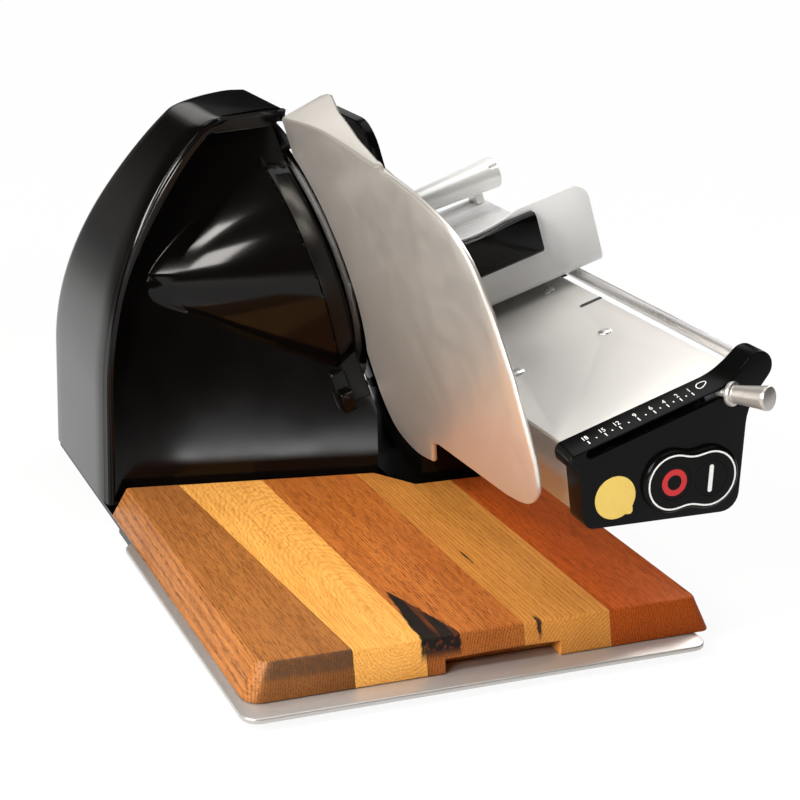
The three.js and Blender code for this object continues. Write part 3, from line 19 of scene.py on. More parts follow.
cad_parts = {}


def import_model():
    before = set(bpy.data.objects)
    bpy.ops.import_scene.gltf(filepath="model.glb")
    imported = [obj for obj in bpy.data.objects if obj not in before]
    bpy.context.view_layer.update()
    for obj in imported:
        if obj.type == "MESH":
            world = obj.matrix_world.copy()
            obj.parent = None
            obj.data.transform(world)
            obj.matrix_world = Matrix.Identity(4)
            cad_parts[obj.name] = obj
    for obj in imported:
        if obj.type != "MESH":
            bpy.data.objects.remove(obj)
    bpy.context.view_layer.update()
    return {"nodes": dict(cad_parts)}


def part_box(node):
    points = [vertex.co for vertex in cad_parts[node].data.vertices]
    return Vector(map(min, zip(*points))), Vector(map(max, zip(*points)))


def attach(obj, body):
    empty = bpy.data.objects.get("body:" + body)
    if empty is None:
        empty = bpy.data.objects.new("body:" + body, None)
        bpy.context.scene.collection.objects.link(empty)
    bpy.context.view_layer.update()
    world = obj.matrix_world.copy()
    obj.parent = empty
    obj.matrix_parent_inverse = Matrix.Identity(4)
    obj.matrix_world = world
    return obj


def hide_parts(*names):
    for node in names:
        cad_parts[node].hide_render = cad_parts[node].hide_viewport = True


LOG = logging.getLogger("slicer")
MM = 0.001
WELD = 2e-6
LEAN = math.radians(18.75)
COS = math.cos(LEAN)
SIN = math.sin(LEAN)
TRAY_LEFT = -2.0
Colour = tuple[float, float, float]
Flat = tuple[float, float]
Piece = bpy.types.Object
Socket = bpy.types.NodeSocket
Input = Union[float, Colour, Socket]
EdgeTest = Callable[[bmesh.types.BMEdge], bool]
Sides = tuple[float, float, float, float]


class Body(str, Enum):
    """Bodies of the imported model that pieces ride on."""

    BASE = "base"
    BOARD = "board"
    BLADE = "blade_unit"
    GAUGE = "gauge"
    LEVER = "lever"
    CARRIAGE = "carriage"
    CARRIER = "pusher_carrier"
    PUSHER = "pusher"
    OFF = "off_key"
    ON = "on_key"


class Flaw(Enum):
    """Marks that a stave of the board can have."""

    NONE = "none"
    KNOT = "knot"
    CHECKS = "checks"
    SMOKE = "smoke"


class Drawing:
    """The drawing frame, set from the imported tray."""

    origin: ClassVar[Vector] = Vector((0.0, 0.0, 0.0))

    @classmethod
    def settle(cls) -> None:
        """Take the drawing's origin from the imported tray's low corner."""
        low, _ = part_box("tray")
        cls.origin = Vector((low.x - TRAY_LEFT * MM, low.y, 0.0))

    @classmethod
    def at(cls, x: float, y: float, z: float) -> Vector:
        """Give a drawing point in metres in the shared frame.

        Args:
            x: Millimetres from the housing's left wall.
            y: Millimetres from the tray's front edge.
            z: Millimetres over the floor.

        Returns:
            The point in the shared frame.
        """
        return Vector((x, y, z)) * MM + cls.origin

    @classmethod
    def leaning(cls, c: float, y: float, v: float) -> Vector:
        """Give a point of the leaning frame in the shared frame.

        Args:
            c: Millimetres square to the blade.
            y: Millimetres from the tray's front edge.
            v: Millimetres up along the blade.

        Returns:
            The point in the shared frame.
        """
        x, z = cls.upright(c, v)
        return cls.at(x, y, z)

    @staticmethod
    def upright(c: float, v: float) -> Flat:
        """Give (x, z) of a place in the leaning frame."""
        return (c * COS - v * SIN, c * SIN + v * COS)

    @staticmethod
    def tilted(x: float, z: float) -> Flat:
        """Give (c, v) of a place in the drawing frame."""
        return (x * COS + z * SIN, z * COS - x * SIN)

    @classmethod
    def flat(cls, point: Vector) -> Vector:
        """Turn a point of the shared frame back into drawing millimetres."""
        return (point - cls.origin) / MM


class Bench:
    """Modelling steps that the pieces share."""

    @staticmethod
    def clear() -> None:
        """Leave edit mode and deselect everything."""
        if bpy.context.object is not None and bpy.context.object.mode != "OBJECT":
            bpy.ops.object.mode_set(mode="OBJECT")
        for thing in bpy.context.selected_objects:
            thing.select_set(False)

    @classmethod
    def pick(cls, piece: Piece) -> None:
        """Make a piece the only selected one.

        Args:
            piece: Piece to select.
        """
        cls.clear()
        piece.select_set(True)
        bpy.context.view_layer.objects.active = piece

    @classmethod
    def edit(cls, piece: Piece) -> None:
        """Open a piece in edit mode with everything selected.

        Args:
            piece: Piece to open.
        """
        cls.pick(piece)
        bpy.ops.object.mode_set(mode="EDIT")
        bpy.ops.mesh.select_all(action="SELECT")

    @classmethod
    def thicken(cls, push: Vector) -> None:
        """Extrude what is selected and close the piece."""
        bpy.ops.mesh.extrude_region_move(TRANSFORM_OT_translate={"value": tuple(push)})
        cls.outward()

    @classmethod
    def face(cls, name: str, outline: Sequence[Vector]) -> Piece:
        """Fill an outline with one face.

        Args:
            name: Name of the piece.
            outline: Corner points in the shared frame, in order.

        Returns:
            The flat piece.
        """
        cls.clear()
        bpy.ops.mesh.primitive_circle_add(vertices=len(outline), fill_type="NGON")
        piece = bpy.context.object
        piece.name = name
        for vertex, point in zip(piece.data.vertices, outline):
            vertex.co = point
        return piece

    @classmethod
    def slab(cls, name: str, outline: Sequence[Vector], push: Vector) -> Piece:
        """Push a flat outline into a slab.

        Args:
            name: Name of the piece.
            outline: Corner points in the shared frame, in order.
            push: Way and length of the push in metres.

        Returns:
            The closed slab.
        """
        piece = cls.face(name, outline)
        cls.edit(piece)
        cls.thicken(push)
        return piece

    @classmethod
    def sheet(
        cls, name: str, columns: int, rows: int, place: Callable[[float, float], Vector]
    ) -> Piece:
        """Lay a grid over a surface given by a formula.

        Args:
            name: Name of the piece.
            columns: Cells along the first direction.
            rows: Cells along the second direction.
            place: Point in the shared frame for two shares from 0 to 1.

        Returns:
            The open sheet.
        """
        cls.clear()
        bpy.ops.mesh.primitive_grid_add(x_subdivisions=columns, y_subdivisions=rows, size=2)
        piece = bpy.context.object
        piece.name = name
        for vertex in piece.data.vertices:
            vertex.co = place((vertex.co.x + 1) / 2, (vertex.co.y + 1) / 2)
        return piece

    @classmethod
    def turned(
        cls, name: str, profile: Sequence[Flat], centre: Vector, axis: Vector, steps: int = 48
    ) -> Piece:
        """Spin a profile into a turned piece.

        Args:
            name: Name of the piece.
            profile: Points as (radius, place along the axis) in millimetres.
            centre: Point on the axis that the places start from.
            axis: Unit direction of the axis.
            steps: Facets round the piece.

        Returns:
            The closed turned piece.
        """
        side = axis.orthogonal().normalized()
        cls.clear()
        bpy.ops.mesh.primitive_circle_add(vertices=len(profile), fill_type="NOTHING")
        piece = bpy.context.object
        piece.name = name
        for vertex, (radius, along) in zip(piece.data.vertices, profile):
            vertex.co = centre + side * radius * MM + axis * along * MM
        cls.edit(piece)
        if profile[0][0] == 0 and profile[-1][0] == 0:
            ends = (0, len(profile) - 1)
            cls.select_edges(piece, lambda edge: all(vertex.index in ends for vertex in edge.verts))
            bpy.ops.mesh.delete(type="EDGE")
        bpy.ops.mesh.select_all(action="SELECT")
        bpy.ops.mesh.spin(steps=steps, angle=2 * math.pi, center=tuple(centre), axis=tuple(axis))
        cls.outward()
        return piece

    @classmethod
    def outward(cls) -> None:
        """Merge doubles, point the faces outwards and leave edit mode."""
        bpy.ops.mesh.select_all(action="SELECT")
        bpy.ops.mesh.remove_doubles(threshold=WELD)
        bpy.ops.mesh.normals_make_consistent(inside=False)
        bpy.ops.object.mode_set(mode="OBJECT")

    @staticmethod
    def select_edges(piece: Piece, test: EdgeTest) -> None:
        """Select the edges that pass a test, in edit mode.

        Args:
            piece: Piece in edit mode.
            test: Tells whether an edge is wanted.
        """
        bpy.ops.mesh.select_mode(type="EDGE")
        bpy.ops.mesh.select_all(action="DESELECT")
        shape = bmesh.from_edit_mesh(piece.data)
        for edge in shape.edges:
            if test(edge):
                edge.select_set(True)
        bmesh.update_edit_mesh(piece.data)

    @classmethod
    def soften(
        cls,
        piece: Piece,
        width: float,
        segments: int = 3,
        angle: float = 30,
        test: EdgeTest = lambda edge: True,
    ) -> None:
        """Round the sharp edges of a piece in edit mode.

        Args:
            piece: Piece to round.
            width: Width of the rounding in millimetres.
            segments: Facets across the rounding.
            angle: Least angle between two faces that counts as sharp, in degrees.
            test: Tells whether a sharp edge is rounded.
        """
        limit = math.radians(angle)

        def sharp(edge: bmesh.types.BMEdge) -> bool:
            """Tell whether an edge is sharp and wanted."""
            return edge.is_manifold and edge.calc_face_angle(0) > limit and test(edge)

        cls.edit(piece)
        cls.select_edges(piece, sharp)
        bpy.ops.mesh.bevel(offset=width * MM, segments=segments, affect="EDGES", clamp_overlap=False)
        cls.outward()

    @classmethod
    def modify(cls, piece: Piece, kind: str, **settings: object) -> None:
        """Apply one modifier to a piece.

        Args:
            piece: Piece to change.
            kind: Type of the modifier.
            **settings: Values set on the modifier.
        """
        cls.pick(piece)
        step = piece.modifiers.new(kind.lower(), kind)
        for key, value in settings.items():
            setattr(step, key, value)
        bpy.ops.object.modifier_apply(modifier=step.name)

    @classmethod
    def cut(cls, piece: Piece, tool: Piece) -> None:
        """Cut a tool out of a piece and drop the tool."""
        cls.modify(piece, "BOOLEAN", operation="DIFFERENCE", object=tool, solver="EXACT")
        bpy.data.objects.remove(tool)

    @classmethod
    def smooth(cls, piece: Piece, angle: float = 32) -> None:
        """Shade a piece smooth, with creases at edges sharper than an angle in degrees."""
        cls.pick(piece)
        bpy.ops.object.shade_smooth_by_angle(angle=math.radians(angle))

    @classmethod
    def join(cls, name: str, pieces: Sequence[Piece]) -> Piece:
        """Join several pieces into one.

        Args:
            name: Name of the joined piece.
            pieces: Pieces to join.

        Returns:
            The joined piece.
        """
        cls.pick(pieces[0])
        for piece in pieces:
            piece.select_set(True)
        bpy.ops.object.join()
        pieces[0].name = name
        return pieces[0]

    @classmethod
    def refined(
        cls,
        node: Piece,
        name: str,
        width: float,
        segments: int = 3,
        test: EdgeTest = lambda edge: True,
    ) -> Piece:
        """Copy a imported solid, merge its loose faces and round its edges.

        Args:
            node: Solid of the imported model.
            name: Name of the new piece.
            width: Width of the rounding in millimetres, 0 for none.
            segments: Facets across the rounding.
            test: Tells whether a sharp edge is rounded.

        Returns:
            The new piece, shaded smooth.
        """
        piece = bpy.data.objects.new(name, node.data.copy())
        bpy.context.scene.collection.objects.link(piece)
        cls.pick(piece)
        bpy.ops.mesh.customdata_custom_splitnormals_clear()
        cls.edit(piece)
        bpy.ops.mesh.remove_doubles(threshold=WELD)
        bpy.ops.mesh.dissolve_limited(angle_limit=math.radians(0.4))
        bpy.ops.object.mode_set(mode="OBJECT")
        if width > 0:
            cls.soften(piece, width, segments, 35, test)
        cls.smooth(piece)
        return piece


class Shader:
    """A node material under construction."""

    def __init__(self, name: str) -> None:
        """Start a material with one principled shader.

        Args:
            name: Name of the material.
        """
        self.material = bpy.data.materials.new(name)
        self.material.use_nodes = True
        self.tree = self.material.node_tree
        self.surface = self.tree.nodes["Principled BSDF"]
        self.place = self.node("ShaderNodeTexCoord").outputs["Object"]

    @classmethod
    def over(cls, world: bpy.types.World) -> Shader:
        """Start on a world's node tree, with the direction as the place.

        Args:
            world: World with nodes.

        Returns:
            The shader that adds nodes to it.
        """
        sky = cls.__new__(cls)
        sky.tree = world.node_tree
        sky.surface = sky.tree.nodes["Background"]
        sky.place = sky.node("ShaderNodeTexCoord").outputs["Generated"]
        return sky

    def node(
        self, kind: str, inputs: dict[str | int, Input] | None = None, **settings: object
    ) -> bpy.types.Node:
        """Add a node.

        Args:
            kind: Type of the node.
            inputs: Values or sockets for its inputs.
            **settings: Properties set on the node.

        Returns:
            The new node.
        """
        made = self.tree.nodes.new(kind)
        for key, value in settings.items():
            setattr(made, key, value)
        for key, value in (inputs or {}).items():
            self.feed(made.inputs[key], value)
        return made

    def feed(self, socket: Socket, value: Input) -> None:
        """Link a socket to another one or give it a value.

        Args:
            socket: Input to set.
            value: Constant, or socket to link.
        """
        if isinstance(value, Socket):
            self.tree.links.new(value, socket)
        elif isinstance(value, tuple) and socket.type == "RGBA":
            socket.default_value = (*value, 1.0)
        else:
            socket.default_value = value

    def dress(self, **inputs: Input) -> None:
        """Set inputs of the principled shader, with underscores for spaces."""
        for key, value in inputs.items():
            self.feed(self.surface.inputs[key.replace("_", " ")], value)

    def mapped(self, scale: Colour, centre: Colour = (0, 0, 0), turn: Colour = (0, 0, 0)) -> Socket:
        """Give object coordinates, centred, turned and scaled.

        Args:
            scale: Scale along the three axes.
            centre: Point in metres that becomes the origin.
            turn: Turn in radians about the three axes.

        Returns:
            The coordinate socket.
        """
        moved = self.node("ShaderNodeVectorMath", {0: self.place, 1: centre}, operation="SUBTRACT")
        inputs = {"Vector": moved.outputs[0], "Rotation": turn, "Scale": scale}
        return self.node("ShaderNodeMapping", inputs).outputs[0]

    def noise(self, at: Socket, scale: float = 1.0, detail: float = 3) -> Socket:
        """Give a noise from 0 to 1."""
        inputs = {"Vector": at, "Scale": scale, "Detail": detail}
        return self.node("ShaderNodeTexNoise", inputs).outputs[0]

    def span(self, value: Socket, low: float, high: float, to_low: float = 0, to_high: float = 1) -> Socket:
        """Map a value from one span to another, smoothly and held at the ends.

        Args:
            value: Value to map.
            low: Start of the first span.
            high: End of the first span.
            to_low: Start of the second span.
            to_high: End of the second span.

        Returns:
            The mapped value.
        """
        inputs = {0: value, 1: low, 2: high, 3: to_low, 4: to_high}
        return self.node("ShaderNodeMapRange", inputs, interpolation_type="SMOOTHSTEP").outputs[0]

    def sum(self, how: str, a: Input, b: Input) -> Socket:
        """Give a math node's value."""
        return self.node("ShaderNodeMath", {0: a, 1: b}, operation=how).outputs[0]

    def product(self, a: Input, b: Input) -> Socket:
        """Give the product of two values."""
        return self.sum("MULTIPLY", a, b)

    def parts(self, at: Socket) -> tuple[Socket, Socket, Socket]:
        """Split a place into x, y and z."""
        split = self.node("ShaderNodeSeparateXYZ", {0: at})
        return (split.outputs[0], split.outputs[1], split.outputs[2])

    def length(self, at: Socket) -> Socket:
        """Give the distance of a place from the origin."""
        return self.node("ShaderNodeVectorMath", {0: at}, operation="LENGTH").outputs["Value"]

    def blend(self, share: Input, a: Input, b: Input) -> Socket:
        """Mix two colours.

        Args:
            share: How much of the second colour shows.
            a: First colour.
            b: Second colour.

        Returns:
            The mixed colour.
        """
        mixed = self.node("ShaderNodeMix", data_type="RGBA")
        for index, value in ((0, share), (6, a), (7, b)):
            self.feed(mixed.inputs[index], value)
        return mixed.outputs[2]

    def relief(self, height: Socket, strength: float, depth: float) -> Socket:
        """Give a bumped normal.

        Args:
            height: Height from 0 to 1.
            strength: Strength of the relief.
            depth: Depth of the relief in millimetres.

        Returns:
            The normal socket.
        """
        inputs = {"Height": height, "Strength": strength, "Distance": depth * MM}
        return self.node("ShaderNodeBump", inputs).outputs[0]


@dataclass(frozen=True)
class Finish:
    """A finish with a name; its material is made once."""

    name: str
    made: ClassVar[dict[str, bpy.types.Material]] = {}

    def material(self) -> bpy.types.Material:
        """Give the finish's material, made on first use.

        Returns:
            The material.
        """
        if self.name not in self.made:
            shader = Shader(self.name)
            self.paint(shader)
            self.made[self.name] = shader.material
        return self.made[self.name]

    def paint(self, shader: Shader) -> None:
        """Build the material's nodes."""
        raise NotImplementedError


@dataclass(frozen=True)
class Gloss(Finish):
    """Lacquer or moulded plastic."""

    colour: Colour
    roughness: float
    grain: float = 900.0
    relief: float = 0.03
    shine: float = 0.32

    def paint(self, shader: Shader) -> None:
        """Mottle the colour and the gloss, with a fine skin.

        Args:
            shader: Material under construction.
        """
        broad = shader.noise(shader.place, 14)
        fine = shader.noise(shader.place, self.grain, 2)
        lighter = tuple(1.5 * part for part in self.colour)
        shader.dress(
            Base_Color=shader.blend(broad, self.colour, lighter),
            Roughness=shader.span(broad, 0.3, 0.7, self.roughness * 0.8, self.roughness * 1.25),
            Normal=shader.relief(fine, self.relief, 0.05),
            Specular_IOR_Level=self.shine,
        )


@dataclass(frozen=True)
class Metal(Finish):
    """Metal with a grain drawn out along one direction."""

    colour: Colour
    roughness: float
    grain: Colour = (500.0, 500.0, 500.0)
    turn: Colour = (0.0, 0.0, 0.0)
    relief: float = 0.04
    spread: float = 0.2
    metallic: float = 1.0

    def paint(self, shader: Shader) -> None:
        """Draw the grain in colour, roughness and relief.

        Args:
            shader: Material under construction.
        """
        lines = shader.noise(shader.mapped(self.grain, turn=self.turn), detail=4)
        broad = shader.noise(shader.place, 9, 2)
        both = shader.sum("ADD", shader.product(lines, 0.6), shader.product(broad, 0.4))
        darker = tuple(0.88 * part for part in self.colour)
        low, high = self.roughness * (1 - self.spread), self.roughness * (1 + self.spread)
        shader.dress(
            Base_Color=shader.blend(both, darker, self.colour),
            Metallic=self.metallic,
            Roughness=shader.span(both, 0.3, 0.7, low, high),
            Normal=shader.relief(lines, self.relief, 0.05),
        )


@dataclass(frozen=True)
class Oak(Finish):
    """Oiled oak with rings round a pith, pores and fibres along Y."""

    pale: Colour
    dark: Colour
    pith: Colour
    rings: float = 45.0
    tilt: float = 2.0
    skew: float = 0.0
    flow: float = 0.15
    sway: float = 2.0
    contrast: float = 0.5
    pores: float = 0.5
    end: float = 0.0
    shine: float = 0.2
    flaw: Flaw = Flaw.NONE
    fibre_scale: ClassVar[Colour] = (620.0, 22.0, 620.0)
    pore_scale: ClassVar[Colour] = (1250.0, 110.0, 1250.0)
    cloud_scale: ClassVar[Colour] = (30.0, 3.0, 30.0)
    ragged_scale: ClassVar[Colour] = (220.0, 70.0, 220.0)
    streak_scale: ClassVar[Colour] = (260.0, 14.0, 260.0)
    ring_detail: ClassVar[Flat] = (2.0, 0.7)
    depth: ClassVar[float] = 0.12
    board_foot: ClassVar[Colour] = (0.0, 19.0, 10.3)
    front_slope: ClassVar[float] = 7 / 26
    soot: ClassVar[Colour] = (0.010, 0.007, 0.006)
    smoke_colour: ClassVar[Colour] = (0.060, 0.036, 0.022)
    smoke_start: ClassVar[Flat] = (0.012, 0.016)
    knot_tip: ClassVar[Colour] = (139.5, 109.0, 36.3)
    knot_left: ClassVar[float] = 0.085
    knot_right: ClassVar[float] = 0.28
    knot_width: ClassVar[float] = 0.0215
    knot_foot: ClassVar[Flat] = (-0.018, -0.008)
    crack_turn: ClassVar[float] = -0.12
    cracks: ClassVar[tuple[tuple[Colour, Colour], ...]] = (
        ((224.0, 29.0, 36.0), (0.0026, 0.011, 0.02)),
        ((223.0, 145.0, 36.0), (0.0014, 0.012, 0.02)),
    )

    def paint(self, shader: Shader) -> None:
        """Build rings, pores, fibres and flaws.

        Args:
            shader: Material under construction.
        """
        pith = tuple(Drawing.at(*self.pith))
        turn = (math.radians(self.tilt), 0, math.radians(self.skew))
        detail, detail_scale = self.ring_detail
        wave = {
            "Vector": shader.mapped((1.0, self.flow, 1.0), centre=pith, turn=turn),
            "Scale": self.rings,
            "Distortion": self.sway,
            "Detail": detail,
            "Detail Scale": detail_scale,
        }
        texture = shader.node("ShaderNodeTexWave", wave, wave_type="RINGS", rings_direction="Y")
        rings = texture.outputs["Fac"]
        fibre = shader.noise(shader.mapped(self.fibre_scale), detail=4)
        broad = shader.noise(shader.mapped(self.cloud_scale, centre=pith))
        pore = shader.span(shader.noise(shader.mapped(self.pore_scale), detail=2), 0.5, 0.6)
        ring = shader.span(rings, 0.5, 1.0, 0.0, self.contrast)
        tone = shader.sum("ADD", ring, shader.product(broad, 0.6))
        colour = shader.blend(shader.span(tone, 0.18, 0.85), self.pale, self.dark)
        deep = tuple(0.32 * part for part in self.dark)
        colour = shader.blend(shader.span(fibre, 0.35, 0.7, 0.0, 0.6), colour, self.dark)
        thick = shader.product(pore, shader.span(rings, 0.2, 0.9, 0.35 * self.pores, self.pores))
        colour = shader.blend(thick, colour, deep)
        front, _ = self.front(shader)
        colour = shader.blend(shader.product(front, self.end), colour, deep)
        height = shader.sum("SUBTRACT", shader.product(fibre, 0.4), pore)
        shader.dress(
            Base_Color=self.flawed(shader, colour),
            Roughness=shader.span(broad, 0.3, 0.7, 0.4, 0.52),
            Normal=shader.relief(height, 0.35, self.depth),
            Specular_IOR_Level=self.shine,
        )

    def front(self, shader: Shader) -> tuple[Socket, Socket]:
        """Find the board's sloping front face.

        Args:
            shader: Material under construction.

        Returns:
            A value that is 1 on the face, and the height over its foot in metres.
        """
        foot = tuple(Drawing.at(*self.board_foot))
        _, y, high = shader.parts(shader.mapped((1.0, 1.0, 1.0), centre=foot))
        deep = shader.sum("SUBTRACT", y, shader.product(high, self.front_slope))
        return shader.span(deep, 0.0005, 0.0025, 1.0, 0.0), high

    def flawed(self, shader: Shader, colour: Socket) -> Socket:
        """Add the stave's flaw to the colour of the sound wood.

        Args:
            shader: Material under construction.
            colour: Colour of the sound wood.

        Returns:
            Colour with the flaw.
        """
        if self.flaw is Flaw.NONE:
            return colour
        ragged = shader.noise(shader.mapped(self.ragged_scale))
        marks = {Flaw.KNOT: self.knot, Flaw.CHECKS: self.crack, Flaw.SMOKE: self.smoke}
        return marks[self.flaw](shader, colour, ragged)

    def knot(self, shader: Shader, colour: Socket, ragged: Socket) -> Socket:
        """Add the black knot that widens from its tip to the front.

        Args:
            shader: Material under construction.
            colour: Colour of the sound wood.
            ragged: Noise that frays the edge.

        Returns:
            Colour with the knot.
        """
        tip = tuple(Drawing.at(*self.knot_tip))
        x, y, z = shader.parts(shader.mapped((1.0, 1.0, 1.0), centre=tip))
        down = shader.product(y, -1.0)
        left = shader.sum("ADD", x, shader.product(down, self.knot_left))
        wide = shader.sum("MINIMUM", shader.product(down, self.knot_right), self.knot_width)
        right = shader.sum("SUBTRACT", shader.sum("ADD", wide, 0.0015), x)
        edge = shader.product(shader.sum("SUBTRACT", ragged, 0.5), 0.006)
        inside = shader.sum("ADD", shader.sum("MINIMUM", left, right), edge)
        mark = shader.product(shader.span(inside, -0.0006, 0.0012), shader.span(down, -0.002, 0.004))
        mark = shader.product(mark, shader.span(z, *self.knot_foot))
        streaks = shader.noise(shader.mapped(self.streak_scale))
        heart = shader.blend(shader.span(streaks, 0.5, 0.8, 0, 0.5), self.soot, self.dark)
        return shader.blend(mark, colour, heart)

    def crack(self, shader: Shader, colour: Socket, ragged: Socket) -> Socket:
        """Add the small dark cracks.

        Args:
            shader: Material under construction.
            colour: Colour of the sound wood.
            ragged: Noise that frays the edge.

        Returns:
            Colour with the cracks.
        """
        for place, size in self.cracks:
            shrink = tuple(1 / part for part in size)
            centre = tuple(Drawing.at(*place))
            away = shader.length(shader.mapped(shrink, centre=centre, turn=(0, 0, self.crack_turn)))
            fray = shader.product(shader.sum("SUBTRACT", ragged, 0.5), 1.6)
            worn = shader.sum("ADD", away, fray)
            colour = shader.blend(shader.span(worn, 0.5, 1.0, 0.95, 0.0), colour, self.soot)
        return colour

    def smoke(self, shader: Shader, colour: Socket, ragged: Socket) -> Socket:
        """Add the smoky band along the top of the front face.

        Args:
            shader: Material under construction.
            colour: Colour of the sound wood.
            ragged: Noise that frays the band.

        Returns:
            Colour with the band.
        """
        face, high = self.front(shader)
        band = shader.product(face, shader.span(high, *self.smoke_start))
        mark = shader.product(band, shader.span(ragged, 0.2, 0.6, 0.3, 0.7))
        return shader.blend(mark, colour, self.smoke_colour)


@dataclass(frozen=True)
class Print(Finish):
    """Printed or stuck-on colour with a slight mottle."""

    colour: Colour
    roughness: float = 0.4

    def paint(self, shader: Shader) -> None:
        """Mottle the print a little.

        Args:
            shader: Material under construction.
        """
        speck = shader.noise(shader.place, 700)
        worn = tuple(0.86 * part for part in self.colour)
        shader.dress(
            Base_Color=shader.blend(speck, worn, self.colour),
            Roughness=shader.span(speck, 0.3, 0.7, self.roughness * 0.85, self.roughness * 1.15),
        )


LACQUER = Gloss("black_lacquer", (0.0016, 0.0013, 0.0012), 0.1, relief=0.012, shine=0.2)
PLASTIC = Gloss("black_plastic", (0.002, 0.002, 0.002), 0.2, relief=0.04, shine=0.1)
RUBBER = Gloss("rubber", (0.018, 0.018, 0.018), 0.75, grain=1500, relief=0.2)
SATIN = Metal("satin_aluminium", (0.80, 0.78, 0.75), 0.4, metallic=0.7)
SHEET = Metal("tray_sheet", (0.58, 0.555, 0.53), 0.4, metallic=0.75)
TURNED = Metal("turned_aluminium", (0.93, 0.925, 0.90), 0.36, relief=0.008, metallic=0.35)
BLASTED = Metal(
    "blasted_aluminium", (0.80, 0.755, 0.70), 0.34,
    grain=(60.0, 60.0, 60.0), relief=0.002, spread=0.1, metallic=0.75,
)
ANODISED = Metal(
    "anodised_sheet", (0.84, 0.84, 0.84), 0.42,
    grain=(30.0, 900.0, 900.0), turn=(0, LEAN, 0), metallic=0.2,
)
BRUSHED = Metal(
    "brushed_deck", (0.75, 0.735, 0.705), 0.48,
    grain=(700.0, 16.0, 700.0), relief=0.02, metallic=0.3,
)
POLISHED = Metal("polished_steel", (0.80, 0.80, 0.80), 0.12, relief=0.01)
DRAWN = Metal("drawn_steel", (0.88, 0.87, 0.86), 0.3, grain=(700.0, 16.0, 700.0), metallic=0.8)
SPUN = Metal("spun_aluminium", (0.50, 0.475, 0.445), 0.36, metallic=0.75)
GROUND = Metal("ground_edge", (0.92, 0.91, 0.90), 0.2, relief=0.003, metallic=0.85)
DARK = Metal("dark_steel", (0.12, 0.12, 0.13), 0.45)
BRASS = Metal("brass", (0.55, 0.38, 0.13), 0.3)
WHITE = Print("white_print", (0.88, 0.88, 0.87))
RED = Print("red_print", (0.56, 0.006, 0.010))
YELLOW = Print("yellow_label", (0.82, 0.58, 0.12), 0.5)


@dataclass
class Slicer:
    """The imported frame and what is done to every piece."""

    nodes: dict[str, Piece]

    def place(
        self,
        piece: Piece,
        body: Body,
        slot: str,
        finish: Finish,
        replaces: Sequence[str] = (),
    ) -> None:
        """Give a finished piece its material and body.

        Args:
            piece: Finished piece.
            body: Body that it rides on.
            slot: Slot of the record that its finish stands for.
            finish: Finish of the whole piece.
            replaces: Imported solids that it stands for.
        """
        piece.data.materials.clear()
        piece.data.materials.append(finish.material())
        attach(piece, body.value)
        if replaces:
            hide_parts(*replaces)
        LOG.info("%s: %d faces on %s", piece.name, len(piece.data.polygons), body.value)

    def refine(
        self,
        node: str,
        width: float,
        slot: str,
        finish: Finish,
        body: Body = Body.BASE,
        segments: int = 3,
        test: EdgeTest = lambda edge: True,
    ) -> None:
        """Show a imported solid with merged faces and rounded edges.

        Args:
            node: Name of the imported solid.
            width: Width of the rounding in millimetres.
            slot: Slot of the record.
            finish: Finish of the piece.
            body: Body that it rides on.
            segments: Facets across the rounding.
            test: Tells whether a sharp edge is rounded.
        """
        piece = Bench.refined(self.nodes[node], f"{node}_shown", width, segments, test)
        self.place(piece, body, slot, finish, [node])

    def keep(self, node: str, finish: Finish) -> None:
        """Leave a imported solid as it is, with a better material.

        Args:
            node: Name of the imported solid.
            finish: Finish of the solid.
        """
        mesh = self.nodes[node].data
        mesh.materials.clear()
        mesh.materials.append(finish.material())


def held(value: float) -> float:
    """Hold a value between 0 and 1."""
    return min(1.0, max(0.0, value))


def between(ends: Flat, share: float) -> float:
    """Give the value at a share of the way between two ends."""
    return ends[0] + (ends[1] - ends[0]) * share


def fillet(points: Sequence[Flat], radii: Sequence[float], steps: int = 6) -> list[Flat]:
    """Round the corners of a closed outline.

    Args:
        points: Corners in order.
        radii: Radius at each corner.
        steps: Facets round each corner.

    Returns:
        The outline with arcs at its corners.
    """
    result: list[Flat] = []
    for index, (corner, radius) in enumerate(zip(points, radii)):
        if radius == 0:
            result.append(corner)
            continue
        here = Vector(corner)
        to_last = (Vector(points[index - 1]) - here).normalized()
        to_next = (Vector(points[(index + 1) % len(points)]) - here).normalized()
        half = math.acos(max(-1.0, min(1.0, to_last.dot(to_next)))) / 2
        middle = here + (to_last + to_next).normalized() * radius / math.sin(half)
        start = here + to_last * radius / math.tan(half) - middle
        end = here + to_next * radius / math.tan(half) - middle
        swing = start.angle_signed(end)
        for step in range(steps + 1):
            ray = start.copy()
            ray.rotate(Matrix.Rotation(-swing * step / steps, 2))
            result.append(tuple(middle + ray))
    return result


def rounded(sides: Sides, radii: Sequence[float]) -> list[Flat]:
    """Round a rectangle's corners.

    Args:
        sides: Left, right, lower and upper side.
        radii: Radius of each corner, from the lower left one on round.

    Returns:
        Points of the outline.
    """
    left, right, low, high = sides
    return fillet([(left, low), (right, low), (right, high), (left, high)], radii)


def rod(radius: float, length: float) -> list[Flat]:
    """Give a plain rod's profile for turning."""
    return [(0, 0), (radius, 0), (radius, length), (0, length)]


def curve(start: Vector, lead: Vector, follow: Vector, end: Vector, count: int) -> list[Vector]:
    """Draw a cubic curve between two points.

    Args:
        start: First point.
        lead: Point that the curve leaves towards.
        follow: Point that the curve arrives from.
        end: Last point.
        count: Facets along the curve.

    Returns:
        Points along the curve.
    """
    points: list[Vector] = []
    for t in steps_between(0.0, 1.0, count):
        rest = 1 - t
        points.append(start * rest**3 + lead * 3 * rest**2 * t + follow * 3 * rest * t**2 + end * t**3)
    return points


